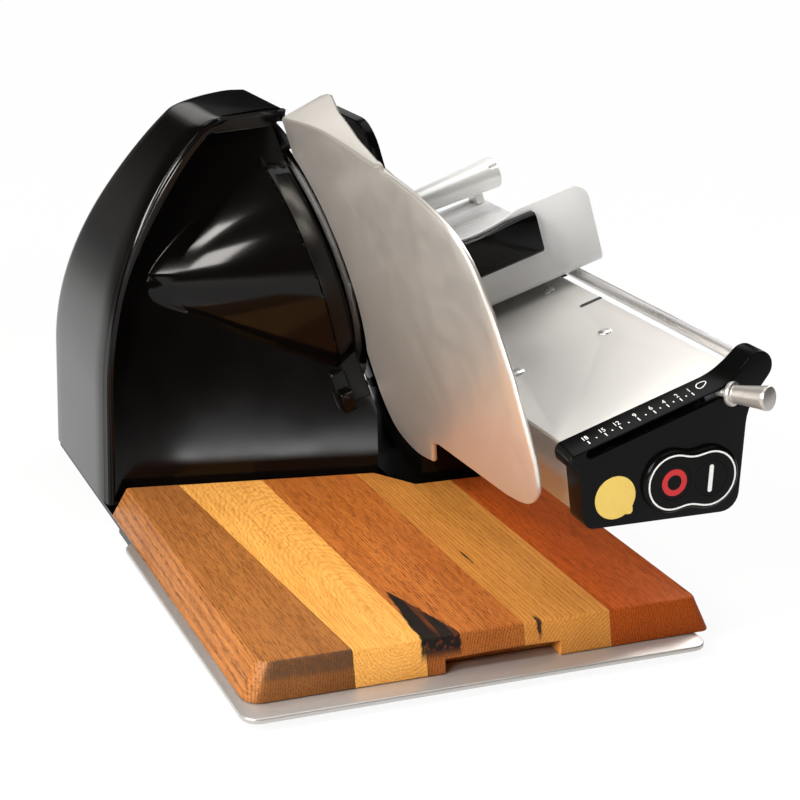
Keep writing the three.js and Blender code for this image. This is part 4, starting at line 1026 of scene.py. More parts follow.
def steps_between(low: float, high: float, count: int) -> list[float]:
    """Give even steps from one value to another, both included."""
    return [low + (high - low) * step / count for step in range(count + 1)]


def spline(points: Sequence[Flat], steps: int) -> list[Flat]:
    """Draw a smooth curve through points.

    Args:
        points: Points that the curve passes.
        steps: Facets between two points.

    Returns:
        Points along the curve.
    """
    ends = [points[0], *points, points[-1]]
    path: list[Flat] = []
    for index in range(1, len(ends) - 2):
        before, start, end, after = (Vector(point) for point in ends[index - 1 : index + 3])
        for step in range(steps):
            t = step / steps
            leave, arrive = (end - before) / 2, (after - start) / 2
            rest = 2 * start - 2 * end + leave + arrive
            bend = -3 * start + 3 * end - 2 * leave - arrive
            path.append(tuple(rest * t**3 + bend * t**2 + leave * t + start))
    path.append(tuple(points[-1]))
    return path


@dataclass
class Housing:
    """Motor housing: rim frame, shell and sunken front wall with its cone."""

    slicer: Slicer
    bottom: float = 18.5
    top: float = 336.0
    straight: float = 110.0
    shoulder: float = 89.0
    roundness: float = 0.87
    crown: float = 30.0
    crown_start: float = 50.0
    foot_width: float = 234.0
    right_c: float = 249.0
    back: float = 566.0
    back_lean: float = 48.0
    back_round: Flat = (28.0, 54.0)
    back_flatness: float = 0.7
    back_crown: float = 8.0
    brow: Flat = (16.0, 10.0)
    rim_front: float = 372.0
    rim_width: Flat = (9.0, 17.0)
    rim_widens: Flat = (190.0, 285.0)
    rim_top: float = 14.0
    rim_right: float = 405.0
    rim_round: float = 4.5
    rim_facet: Flat = (1.6, 4.6)
    rim_depth: float = 8.0
    rim_corner: float = 5.0
    rim_tuck: float = 3.0
    wall_lap: float = 4.0
    wall_drop: float = 6.0
    soft: Flat = (3.0, 26.0)
    edge_round: float = 2.5
    plinth: tuple[float, float, float] = (10.05, 12.0, 10.0)
    wall: float = 2.5
    cone_tip: Colour = (106.0, 416.0, 166.0)
    cone_end: Colour = (230.4, 469.0, 122.0)
    cone_radius: Flat = (9.0, 125.0)
    cone_swell: float = 0.85
    neck: float = 120.0
    melt: float = 12.0
    melt_out: float = 24.0
    melt_rise: float = 15.0
    wall_y: ClassVar[float] = 377.0
    wall_turn: ClassVar[float] = 0.149
    wall_lean: ClassVar[float] = 0.164
    nowhere: ClassVar[float] = 1000.0

    def rise(self, z: float) -> float:
        """Give the share of the leaning part below a height."""
        return held((z - self.straight) / (self.top - self.straight))

    def flank(self, z: float) -> float:
        """Give x of the left wall at a height, without the crown.

        Args:
            z: Height.

        Returns:
            x of the wall.
        """

        def arc(share: float) -> float:
            """Give the fall of an arc at a share of the height."""
            return 1 - math.sqrt(1 - (self.roundness * share) ** 2)

        return self.shoulder * arc(self.rise(z)) / arc(1)

    def crown_z(self, angle: float) -> float:
        """Give the height on the crown at an angle from the upright, in degrees."""
        return self.top - self.crown * (1 - math.sin(math.radians(angle)))

    def left(self, z: float) -> float:
        """Give x of the left wall at a height, rounded over at the crown.

        Args:
            z: Height.

        Returns:
            x of the wall.
        """
        start = self.crown_z(self.crown_start)
        if z <= start:
            return self.flank(z)
        middle = self.flank(start) + self.crown * math.cos(math.radians(self.crown_start))
        return middle - math.sqrt(max(0.0, self.crown**2 - (z - self.top + self.crown) ** 2))

    def right(self, z: float) -> float:
        """Give x of the right wall at a height."""
        return min(self.foot_width, (self.right_c - z * SIN) / COS)

    @property
    def brow_x(self) -> float:
        """Give x of the brow's edge."""
        return self.right(self.top) + self.brow[0]

    @classmethod
    def front(cls, x: float, z: float) -> float:
        """Give y of the sunken front wall."""
        return cls.wall_y - cls.wall_turn * x + cls.wall_lean * z

    def inner_x(self, z: float) -> float:
        """Give x of the rim's inner edge at a height.

        Args:
            z: Height.

        Returns:
            x of the edge.
        """
        low, high = self.rim_widens
        share = held((z - low) / (high - low))
        return self.flank(z) + between(self.rim_width, share**2 * (3 - 2 * share))

    def skin_x(self, y: float, z: float) -> float:
        """Give x of the left wall, drawn in softly towards the rim."""
        near = max(0.0, 1 - (y - self.rim_front) / self.soft[1])
        return self.left(z) + self.soft[0] * near**2

    def rim_y(self, x: float, z: float) -> float:
        """Give y of the rim's front face.

        Args:
            x: Place across the wall.
            z: Height.

        Returns:
            y of the face.
        """
        left, right = self.flank(z), self.right(z)
        end = min(self.front(right, z), self.rim_right)
        return self.rim_front + min(1.0, (x - left) / (right - left)) * (end - self.rim_front)

    def middle(self, x: float, z: float) -> float:
        """Give v of the cone's middle line over a place on the wall.

        Args:
            x: Place across the wall.
            z: Height.

        Returns:
            v of the line.
        """
        c, _ = Drawing.tilted(x, z)
        share = held((c - self.cone_tip[0]) / (self.cone_end[0] - self.cone_tip[0]))
        return between((self.cone_tip[2], self.cone_end[2]), share)

    def cone(self, x: float, z: float) -> float:
        """Give y of the cone's front, or a far place where it has none.

        Args:
            x: Place across the wall.
            z: Height.

        Returns:
            y of the cone.
        """
        c, v = Drawing.tilted(x, z)
        share = (c - self.cone_tip[0]) / (self.cone_end[0] - self.cone_tip[0])
        if share <= 0:
            return self.nowhere
        reach = min(share, 1.0)
        y = between((self.cone_tip[1], self.cone_end[1]), reach)
        radius = between(self.cone_radius, reach**self.cone_swell)
        if share > 1:
            radius += (self.neck - radius) * min(1.0, (c - self.cone_end[0]) / 2)
        height = v - self.middle(x, z)
        return y - math.sqrt(radius**2 - height**2) if abs(height) < radius else self.nowhere

    def build(self) -> None:
        """Build and dress the three pieces."""
        self.build_plinth()
        self.build_frame()
        self.build_shell()
        self.build_wall()

    def build_plinth(self) -> None:
        """Build the low black plinth that the housing stands on."""
        z, inset, corner = self.plinth
        start, end = self.rim_front + inset, self.back - inset
        corners = rounded((inset, self.foot_width - inset, start, end), [2.0, 2.0, corner, corner])
        points = [Drawing.at(x, y, z) for x, y in corners]
        piece = Bench.slab("housing_plinth", points, Vector((0, 0, (self.bottom - z + 1) * MM)))
        Bench.smooth(piece, 35)
        self.slicer.place(piece, Body.BASE, "black_plastic", PLASTIC)

    def stations(self) -> list[tuple[Flat, Flat]]:
        """Follow the rim up the leg and along the top bar.

        Returns:
            Outer and inner point of each station as (x, z).
        """
        under = self.top - self.rim_top
        start, stop = self.crown_z(self.crown_start), under - self.rim_corner
        leg, corner, bar = 48, 10, 12
        pairs: list[tuple[Flat, Flat]] = []
        for step in range(leg):
            outer = between((self.bottom, start), step / leg)
            inner = between((self.bottom, stop), step / leg)
            pairs.append(((self.skin_x(self.rim_front, outer), outer), (self.inner_x(inner), inner)))
        bend = Vector((self.inner_x(under), under))
        first = Vector((self.inner_x(stop), stop))
        last = bend + Vector((self.rim_corner, 0))
        for step in range(corner + 1):
            share = step / corner
            z = self.crown_z(between((self.crown_start, 90), share))
            inner = first * (1 - share) ** 2 + bend * 2 * share * (1 - share) + last * share**2
            pairs.append(((self.skin_x(self.rim_front, z), z), tuple(inner)))
        for step in range(1, bar + 1):
            upper = between((self.skin_x(self.rim_front, self.top), self.brow_x), step / bar)
            lower = between((last.x, self.right(under)), step / bar)
            pairs.append(((upper, self.top), (lower, under)))
        return pairs

    def section(self, outer: Flat, inner: Flat) -> list[Vector]:
        """Give the rim's cross-section at one station.

        Args:
            outer: Outer edge as (x, z).
            inner: Inner edge as (x, z).

        Returns:
            Points from the left wall round the bead to the sunken wall.
        """
        start, end = Vector(outer), Vector(inner)
        wide = (end - start).length
        x, z = outer
        on_leg = x <= self.skin_x(self.rim_front, z) + 0.01
        share = held((wide - 10) / 7) if on_leg else 0.0
        facet = between(self.rim_facet, share)
        second = facet + 1.4
        notch = 0.2 + 0.75 * facet * share
        bend = min(self.rim_round, 0.3 * wide)
        corners = [
            (0.0, self.rim_depth), (0.0, facet), (facet, 0.0), (second, notch), (second + notch, 0.0),
            (wide - bend * 0.5, 0.0), (wide, bend), (wide, self.rim_depth),
        ]
        behind = self.rim_front + self.rim_depth
        drawn = self.skin_x(behind, z) - self.skin_x(self.rim_front, z) if on_leg else 0.0
        path = [Drawing.at(x + drawn, self.rim_y(x, z) + self.rim_depth, z)]
        for along, deep in fillet(corners, [0.0, 1.0, 0.9, 0.4, 0.9, 1.0, 1.4, 0.0], 4)[1:-1]:
            x, z = start.lerp(end, along / wide)
            path.append(Drawing.at(x, self.rim_y(x, z) + deep, z))
        x, z = inner
        return [*path, Drawing.at(x, self.front(x, z) + self.rim_tuck, z)]

    def build_frame(self) -> None:
        """Build the rim along the left edge and the top."""
        sections = [self.section(outer, inner) for outer, inner in self.stations()]
        count = len(sections[0]) - 1

        def bead(across: float, along: float) -> Vector:
            """Give a point of the rim."""
            return sections[round(along * (len(sections) - 1))][round(across * count)]

        piece = Bench.sheet("housing_rim", count, len(sections) - 1, bead)
        self.close(piece, 50)
        self.slicer.place(piece, Body.BASE, "black_lacquer", LACQUER, ["housing"])

    def close(self, piece: Piece, angle: float) -> None:
        """Turn a sheet's faces to the front, give it the wall's thickness and shade it smooth.

        Args:
            piece: Open sheet.
            angle: Least angle that makes a crease, in degrees.
        """
        Bench.edit(piece)
        Bench.outward()
        if sum(face.normal.y * face.area for face in piece.data.polygons) > 0:
            piece.data.flip_normals()
        Bench.modify(piece, "SOLIDIFY", thickness=self.wall * MM, offset=-1)
        Bench.smooth(piece, angle)

    def level(self, z: float, brow: bool) -> list[Vector]:
        """Give the shell's path at one height, from the rim round the back to the right front.

        Args:
            z: Height.
            brow: Whether the level is on the brow.

        Returns:
            Points along the path.
        """
        rise = self.rise(z)
        smooth = rise * rise * (3 - 2 * rise)
        left = self.left(z)
        lip = self.edge_round
        over = max(0.0, z - self.top + lip)
        right = self.brow_x - lip + math.sqrt(lip**2 - over**2) if brow else self.right(z)
        start = self.rim_front + self.rim_depth
        low = self.crown_z(self.crown_start)
        lifted = max(0.0, z - low) / (self.top - low)
        tuck = self.back_crown * (1 - math.sqrt(max(0.0, 1 - lifted**2)))
        back = self.back - self.back_lean * smooth - tuck
        reach = min(between(self.back_round, smooth), 0.9 * (back - start))
        across = min(reach, 0.9 * (right - left))
        blunt = 1 + self.back_flatness * smooth**3
        run, turn = 14, 16
        path = []
        for share in steps_between(0, 1, run)[:-1]:
            y = start + (back - reach - start) * share**1.6
            path.append((self.skin_x(y, z), y))
        for step in range(turn + 1):
            angle = math.pi / 2 * (1 - step / turn)
            path.append((
                left + across * (1 - math.sin(angle) ** blunt),
                back - reach * (1 - abs(math.cos(angle)) ** blunt),
            ))
        path += [(x, back) for x in steps_between(left + across, right - lip, run)[1:]]
        for angle in steps_between(math.pi / 2, 0, 5)[1:]:
            path.append((right - lip * (1 - math.cos(angle)), back - lip * (1 - math.sin(angle))))
        end = self.rim_right + self.rim_tuck if brow else self.front(right, z) + 1
        path += [(right, y) for y in steps_between(back - lip, end, run)[1:]]
        return [Drawing.at(x, y, z) for x, y in path]

    def build_shell(self) -> None:
        """Build the left, back and right walls with the top."""
        ledge, rows, steps = self.top - self.brow[1], 48, 9
        levels = [self.level(z, False) for z in steps_between(self.bottom, ledge, rows)]
        levels.append(self.level(ledge, True))
        for angle in steps_between(self.crown_start, 90, steps):
            levels.append(self.level(self.crown_z(angle), True))
        count = len(levels[0]) - 1

        def skin(along: float, up: float) -> Vector:
            """Give a point of the shell."""
            return levels[round(up * (len(levels) - 1))][round(along * count)]

        piece = Bench.sheet("housing_shell", count, len(levels) - 1, skin)
        Bench.edit(piece)
        top = self.top * MM - WELD / 2
        Bench.select_edges(piece, lambda edge: all(vertex.co.z > top for vertex in edge.verts))
        bpy.ops.mesh.edge_face_add()
        Bench.outward()
        Bench.modify(piece, "SOLIDIFY", thickness=self.wall * MM, offset=-1)
        Bench.smooth(piece, 40)
        self.slicer.place(piece, Body.BASE, "black_lacquer", LACQUER)

    def wall_x(self, across: float, z: float) -> float:
        """Give x on the sunken wall for a share of its width at a height."""
        start = self.flank(z) + self.wall_lap
        return between((start, self.right(z)), across)

    def crease(self, across: float) -> float | None:
        """Give the height where the cone's lower side leaves the wall, in one column of it.

        Args:
            across: Share of the wall's width.

        Returns:
            The height, or nothing where the column has no cone.
        """

        def ahead(z: float) -> bool:
            """Tell whether the cone stands before the wall at a height."""
            x = self.wall_x(across, z)
            return self.cone(x, z) < self.front(x, z)

        heights = steps_between(self.bottom, self.top, 160)
        high = next((z for z in heights if ahead(z)), None)
        if high is None:
            return None
        low = high - heights[1] + heights[0]
        for _ in range(24):
            half = (low + high) / 2
            low, high = (low, half) if ahead(half) else (half, high)
        return high

    def build_wall(self) -> None:
        """Build the sunken front wall with the cone growing out of it."""
        columns, rows, under = 170, 190, 76
        skip, run = 16, 8
        ceiling = self.top - self.wall_drop
        folds = [self.crease(column / columns) for column in range(columns + 1)]
        first = next(column for column, fold in enumerate(folds) if fold is not None) + skip
        slope = (folds[first + run] - folds[first]) / run
        for column in range(first):
            folds[column] = folds[first] - slope * (first - column)

        def surface(across: float, up: float) -> Vector:
            """Give a point of the wall or the cone, whichever is in front.

            Args:
                across: Share of the width.
                up: Share of the height.

            Returns:
                The point in the shared frame.
            """
            fold = folds[round(across * columns)]
            row = round(up * rows)
            if row <= under:
                z = between((self.bottom, fold), row / under)
            else:
                z = between((fold, ceiling), (row - under) / (rows - under))
            x = self.wall_x(across, z)
            wall, cone = self.front(x, z), self.cone(x, z)
            c, v = Drawing.tilted(x, z)
            away = max(0.0, (c - self.cone_tip[0]) / self.melt_out)
            over = min(1.0, (v - self.middle(x, z)) / self.melt_rise)
            melt = self.melt * max(0.001, 1 - away, over)
            near = max(0.0, melt - abs(wall - cone)) / melt
            return Drawing.at(x, min(wall, cone) - near * near * melt / 4, z)

        piece = Bench.sheet("housing_front", columns, rows, surface)
        self.close(piece, 24)
        self.slicer.place(piece, Body.BASE, "black_lacquer", LACQUER)


@dataclass
class Stand:
    """Feet, tray, base plate and landing board."""

    slicer: Slicer
    staves: tuple[Oak, ...] = (
        Oak(
            "oak_stave_1", (0.43, 0.165, 0.040), (0.20, 0.062, 0.013), (-230.0, 150.0, 60.0),
            rings=170.0, skew=1.2, contrast=0.24, pores=0.65, end=0.5, flaw=Flaw.SMOKE,
        ),
        Oak(
            "oak_stave_2", (0.89, 0.45, 0.104), (0.60, 0.235, 0.038), (118.0, 190.0, 0.0),
            rings=130.0, tilt=24.0, flow=0.6, sway=9.0, contrast=0.2, pores=0.3, flaw=Flaw.KNOT,
        ),
        Oak(
            "oak_stave_3", (0.58, 0.190, 0.034), (0.29, 0.066, 0.010), (480.0, 150.0, -60.0),
            rings=150.0, skew=-1.5, contrast=0.26, pores=0.8, end=0.3, flaw=Flaw.KNOT,
        ),
        Oak(
            "oak_stave_4", (0.66, 0.285, 0.058), (0.42, 0.147, 0.022), (330.0, 150.0, -60.0),
            rings=130.0, contrast=0.22, pores=0.4, flaw=Flaw.CHECKS,
        ),
        Oak(
            "oak_stave_5", (0.49, 0.100, 0.0155), (0.28, 0.046, 0.006), (560.0, 150.0, 60.0),
            rings=150.0, skew=1.0, contrast=0.26, pores=0.65, end=0.2, shine=0.05,
        ),
    )

    def build(self) -> None:
        """Dress the stand."""
        for foot in ("foot_front_left", "foot_front_right", "foot_rear_left", "foot_rear_right"):
            self.slicer.refine(foot, 1.0, "rubber", RUBBER)
        self.slicer.refine("tray", 1.2, "satin_aluminium", SHEET)
        self.slicer.keep("base_plate", PLASTIC)

        def free(edge: bmesh.types.BMEdge) -> bool:
            """Tell whether an edge is off the glued sides."""
            return not any(abs(face.normal.x) > 0.95 for face in edge.link_faces)

        for index, oak in enumerate(self.staves, 1):
            slot = "pale_oak" if index % 2 == 0 else "red_oak"
            self.slicer.refine(f"board_stave_{index}", 1.4, slot, oak, Body.BOARD, 3, free)


@dataclass
class BladeUnit:
    """Blade, cover, guard and deflector."""

    slicer: Slicer
    middle: Flat = (469.0, 122.0)
    radius: float = 125.0
    left: float = 253.5
    right: float = 257.5
    bore: float = 30.3
    bevel: Flat = (111.8, 115.0)
    rim: Flat = (0.8, 0.4)
    facets: int = 128
    foot: Sides = (231.0, 248.0, 20.0, 66.0)
    head: Sides = (219.2, 233.0, 17.0, 50.0)
    foot_depth: float = 4.0
    head_depth: float = 8.0

    def build_foot(self, name: str, block: Sides, deep: float) -> None:
        """Build a block on the front wall that carries the deflector on down to its catch.

        Args:
            name: Name of the piece.
            block: Left, right, lower and upper side in the leaning frame.
            deep: How far it stands out of the wall.
        """
        points = []
        for c, v in rounded(block, [2.0, 2.0, 3.0, 3.0]):
            y = Housing.front(*Drawing.upright(c, v))
            points.append(Drawing.leaning(c, y - deep, v))
        piece = Bench.slab(name, points, Vector((0, 2 * deep * MM, 0)))
        Bench.soften(piece, 1.2, 3, 40)
        Bench.smooth(piece, 8)
        self.slicer.place(piece, Body.BASE, "black_plastic", PLASTIC)

    def spin(self, name: str, profile: Sequence[Flat], finish: Finish, replaces: Sequence[str] = ()) -> None:
        """Turn a piece about the blade's axis.

        Args:
            name: Name of the piece.
            profile: Closed profile as (radius, place along the axis).
            finish: Finish of the piece.
            replaces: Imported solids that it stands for.
        """
        centre = Drawing.leaning(0, *self.middle)
        piece = Bench.turned(name, profile, centre, Vector((COS, 0, SIN)), self.facets)
        Bench.smooth(piece, 20)
        self.slicer.place(piece, Body.BLADE, "polished_steel", finish, replaces)

    def build(self) -> None:
        """Dress what shows of the drive."""
        self.build_foot("deflector_foot", self.foot, self.foot_depth)
        self.build_foot("catch_head", self.head, self.head_depth)
        inside, outside = self.bevel
        thick, thin = self.rim
        disc = [
            (self.bore, self.left), (inside, self.left), (outside, self.right - thick),
            (self.radius, self.right - thin), (self.radius, self.right), (self.bore, self.right),
        ]
        self.spin("blade_disc", disc, POLISHED, ["blade"])
        ring = [
            (inside, self.left - 0.03), (outside + 0.1, self.right - thick),
            (outside + 0.1, self.right - 0.5), (inside, self.left + 0.5),
        ]
        self.spin("blade_bevel", ring, GROUND)
        self.slicer.refine("blade_cover", 0.8, "satin_aluminium", SATIN, Body.BLADE)
        for screw in (1, 2, 3):
            self.slicer.refine(f"cover_screw_{screw}", 0.3, "polished_steel", POLISHED, Body.BLADE)
        outer = (
            ("slice_deflector", 0.8, LACQUER), ("deflector_catch", 2.0, LACQUER),
            ("ring_guard", 1.0, PLASTIC), ("cord_inlet", 0.8, PLASTIC),
        )
        for node, width, finish in outer:
            self.slicer.refine(node, width, "black_plastic", finish)
        inner = {
            "blade_hub": DARK, "blade_shaft": POLISHED, "blade_pulley": PLASTIC, "bearing_block": DARK,
            "bearing_inner": POLISHED, "bearing_outer": POLISHED, "motor_body": DARK, "motor_shaft": POLISHED,
            "motor_pulley": BRASS, "motor_bracket": DARK, "drive_belt": RUBBER,
        }
        for node, finish in inner.items():
            self.slicer.keep(node, finish)


@dataclass
class GaugePlate:
    """Sail-shaped gauge plate with a wing bent over along its top."""

    slicer: Slicer
    left: float = 255.0
    thickness: float = 4.4
    edge_round: float = 2.0
    back: float = 396.0
    front: float = 38.0
    top: float = 270.0
    bottom: float = 14.0
    tab_bottom: float = -19.0
    tab_front: float = 250.0
    blade: Flat = (469.0, 122.0)
    arc: float = 129.5
    arc_low_v: float = 59.5
    wing_width: float = 45.0
    wing_rise: float = 0.15
    wing_length: float = 210.0
    square: int = 26
    first_cut: int = 60
    crest_shares: tuple[Flat, ...] = (
        (1, 0.973), (0.732, 1), (0.4525, 0.973), (0.2486, 0.9375), (0.1034, 0.871), (0.0335, 0.746), (0, 0.5),
    )
    toe_shares: tuple[Flat, ...] = ((0, 0.238), (0.0223, 0.125), (0.095, 0.043), (0.2011, 0.0117))

    def point(self, along: float, up: float) -> Flat:
        """Give a point of the sail by shares of its length and height."""
        return (between((self.front, self.back), along), between((self.bottom, self.top), up))

    def crest(self) -> list[Flat]:
        """Give the sail's upper edge from the back to the front."""
        return spline([self.point(*share) for share in self.crest_shares], 9)

    def outline(self) -> list[Flat]:
        """Give the sail's closed outline.

        Returns:
            Points as (y, v).
        """
        points = self.crest()
        points += spline([self.point(*share) for share in self.toe_shares], 6)
        low = math.asin((self.blade[1] - self.arc_low_v) / self.arc)
        high = math.acos((self.blade[0] - self.back) / self.arc)
        arc_low_y = self.blade[0] - self.arc * math.cos(low)
        length, drop = arc_low_y - self.tab_front, self.bottom - self.tab_bottom

        def tab(along: float, up: float) -> Flat:
            """Give a point of the lower tab by shares of its length and drop."""
            return (self.tab_front + along * length, self.tab_bottom + up * drop)

        points += [tab(-0.133, 0.94), tab(0, 0.818), tab(0.06, 0.5)]
        lobe = [tab(0.114, 0.152), tab(0.475, 0), tab(0.807, 0.273), tab(0.959, 1.03)]
        points += spline([*lobe, (arc_low_y, self.arc_low_v)], 6)
        y, v = self.blade
        for angle in steps_between(-low, high, 26)[1:-1]:
            points.append((y - self.arc * math.cos(angle), v + self.arc * math.sin(angle)))
        points.append((self.back, v + self.arc * math.sin(high)))
        return points

    def wing(self, y: float) -> float:
        """Give the wing's width at a place along the crest.

        Args:
            y: Place along the crest.

        Returns:
            The width.
        """
        full, least = self.wing_width, self.thickness
        along = (self.back - y) / self.wing_length
        knots = (
            (0.0, full - 7), (0.015, full - 3.5), (0.048, full - 1),
            (0.36, least + 21), (0.7, least + 7.5), (1.0, least),
        )
        for (start, wide), (end, narrow) in zip(knots, knots[1:]):
            if start <= along <= end:
                return between((wide, narrow), (along - start) / (end - start))
        return self.thickness

    def divide(self, piece: Piece) -> None:
        """Cut the large flat faces into even squares.

        Args:
            piece: Rounded plate.
        """
        cuts = [(Drawing.at(0, y, 0), (0, 1, 0)) for y in range(self.first_cut, int(self.back), self.square)]
        heights = range(int(self.bottom) + 6, int(self.top), self.square)
        cuts += [(Drawing.leaning(self.left, 0, v), (-SIN, 0, COS)) for v in heights]
        Bench.edit(piece)
        for spot, way in cuts:
            bpy.ops.mesh.select_all(action="SELECT")
            bpy.ops.mesh.bisect(plane_co=tuple(spot), plane_no=way)
        bpy.ops.object.mode_set(mode="OBJECT")

    def build(self) -> None:
        """Build the bent sheet, give it thickness and round it."""
        outline = self.outline()
        piece = Bench.face("gauge_sail", [Drawing.leaning(self.left, y, v) for y, v in outline])
        Bench.edit(piece)
        limit = self.back - self.wing_length
        ridge = {index for index, (y, _) in enumerate(self.crest()) if y > limit - 1}
        Bench.select_edges(piece, lambda edge: all(vertex.index in ridge for vertex in edge.verts))
        bpy.ops.mesh.extrude_edges_move(TRANSFORM_OT_translate={"value": (0, 0, 0)})
        bpy.ops.object.mode_set(mode="OBJECT")
        for vertex in piece.data.vertices[len(outline):]:
            flat = Drawing.flat(vertex.co)
            c, v = Drawing.tilted(flat.x, flat.z)
            wide = self.wing(flat.y)
            vertex.co = Drawing.leaning(c + wide, flat.y, v + wide * self.wing_rise)
        Bench.edit(piece)
        bpy.ops.mesh.normals_make_consistent(inside=False)
        bpy.ops.object.mode_set(mode="OBJECT")
        largest = max(piece.data.polygons, key=lambda face: face.area)
        if largest.normal.x > 0:
            piece.data.flip_normals()
        Bench.modify(piece, "SOLIDIFY", thickness=self.thickness * MM, offset=-1, use_even_offset=True)
        stop = min(y for y, _ in self.crest() if y > limit - 1)

        def clear(edge: bmesh.types.BMEdge) -> bool:
            """Tell whether an edge is off the wing's end."""
            return all(abs(Drawing.flat(vertex.co).y - stop) > 1 for vertex in edge.verts)

        Bench.soften(piece, self.edge_round, 4, 30, clear)
        self.divide(piece)
        Bench.smooth(piece, 35)
        self.slicer.place(piece, Body.GAUGE, "satin_aluminium", BLASTED, ["gauge_plate"])
        self.slicer.refine("gauge_rod", 0.6, "polished_steel", POLISHED, Body.GAUGE)


@dataclass
class Arm:
    """Pedestal, arm, deck, rod and end cap."""

    slicer: Slicer
    deck_corner: Flat = (284.0, 47.5)
    deck_v: float = 72.0
    rivets: tuple[Flat, ...] = ((30.0, 130.0), (109.5, 132.0), (31.0, 244.5), (119.5, 244.5))
    rivet: Flat = (5.5, 2.4)
    shank: Flat = (2.3, 1.9)
    head_foot: Flat = (0.05, 0.35)
    # Outline of the deck's slot, then the lift and thickness of the thin dark sheet of painted shade laid
    # over it.
    slot: Sides = (405.0, 424.6, 237.6, 242.4)
    shade_lift: float = 0.02
    shade_thickness: float = 0.08

    def build(self) -> None:
        """Dress the arm, build the rivets and lay a thin dark sheet over the deck's slot as painted shade."""
        nodes = (
            ("pedestal", 2.0, "black_plastic", LACQUER), ("arm_body", 0.8, "satin_aluminium", SHEET),
            ("arm_end_cap", 0.8, "black_plastic", PLASTIC), ("guide_rod", 0.6, "polished_steel", DRAWN),
            ("deck", 0.5, "brushed_steel", BRUSHED),
        )
        for node, width, slot, finish in nodes:
            self.slicer.refine(node, width, slot, finish)
        radius, rise = self.rivet
        stem, deep = self.shank
        low, edge = self.head_foot
        dome = [(radius * math.cos(a), edge + rise * math.sin(a)) for a in steps_between(0, math.pi / 2, 8)]
        profile = [(0, -deep), (stem, -deep), (stem, low), (radius, low), *dome[:-1], (0, edge + rise)]
        up = Vector((-SIN, 0, COS))
        for index, (across, along) in enumerate(self.rivets, 1):
            spot = Drawing.leaning(self.deck_corner[0] + across, self.deck_corner[1] + along, self.deck_v)
            piece = Bench.turned(f"rivet_head_{index}", profile, spot, up, 40)
            Bench.smooth(piece, 40)
            self.slicer.place(piece, Body.BASE, "polished_steel", DRAWN, [f"deck_rivet_{index}"])
        # Painted shade: a thin dark sheet lies on the deck over the slot, standing in for the shade inside
        # the slot.
        corners = rounded(self.slot, [2.2, 0.4, 0.4, 2.2])
        points = [Drawing.leaning(c, y, self.deck_v + self.shade_lift) for c, y in corners]
        piece = Bench.slab("deck_slot_painted_shade", points, up * self.shade_thickness * MM)
        self.slicer.place(piece, Body.BASE, "black_plastic", DARK)


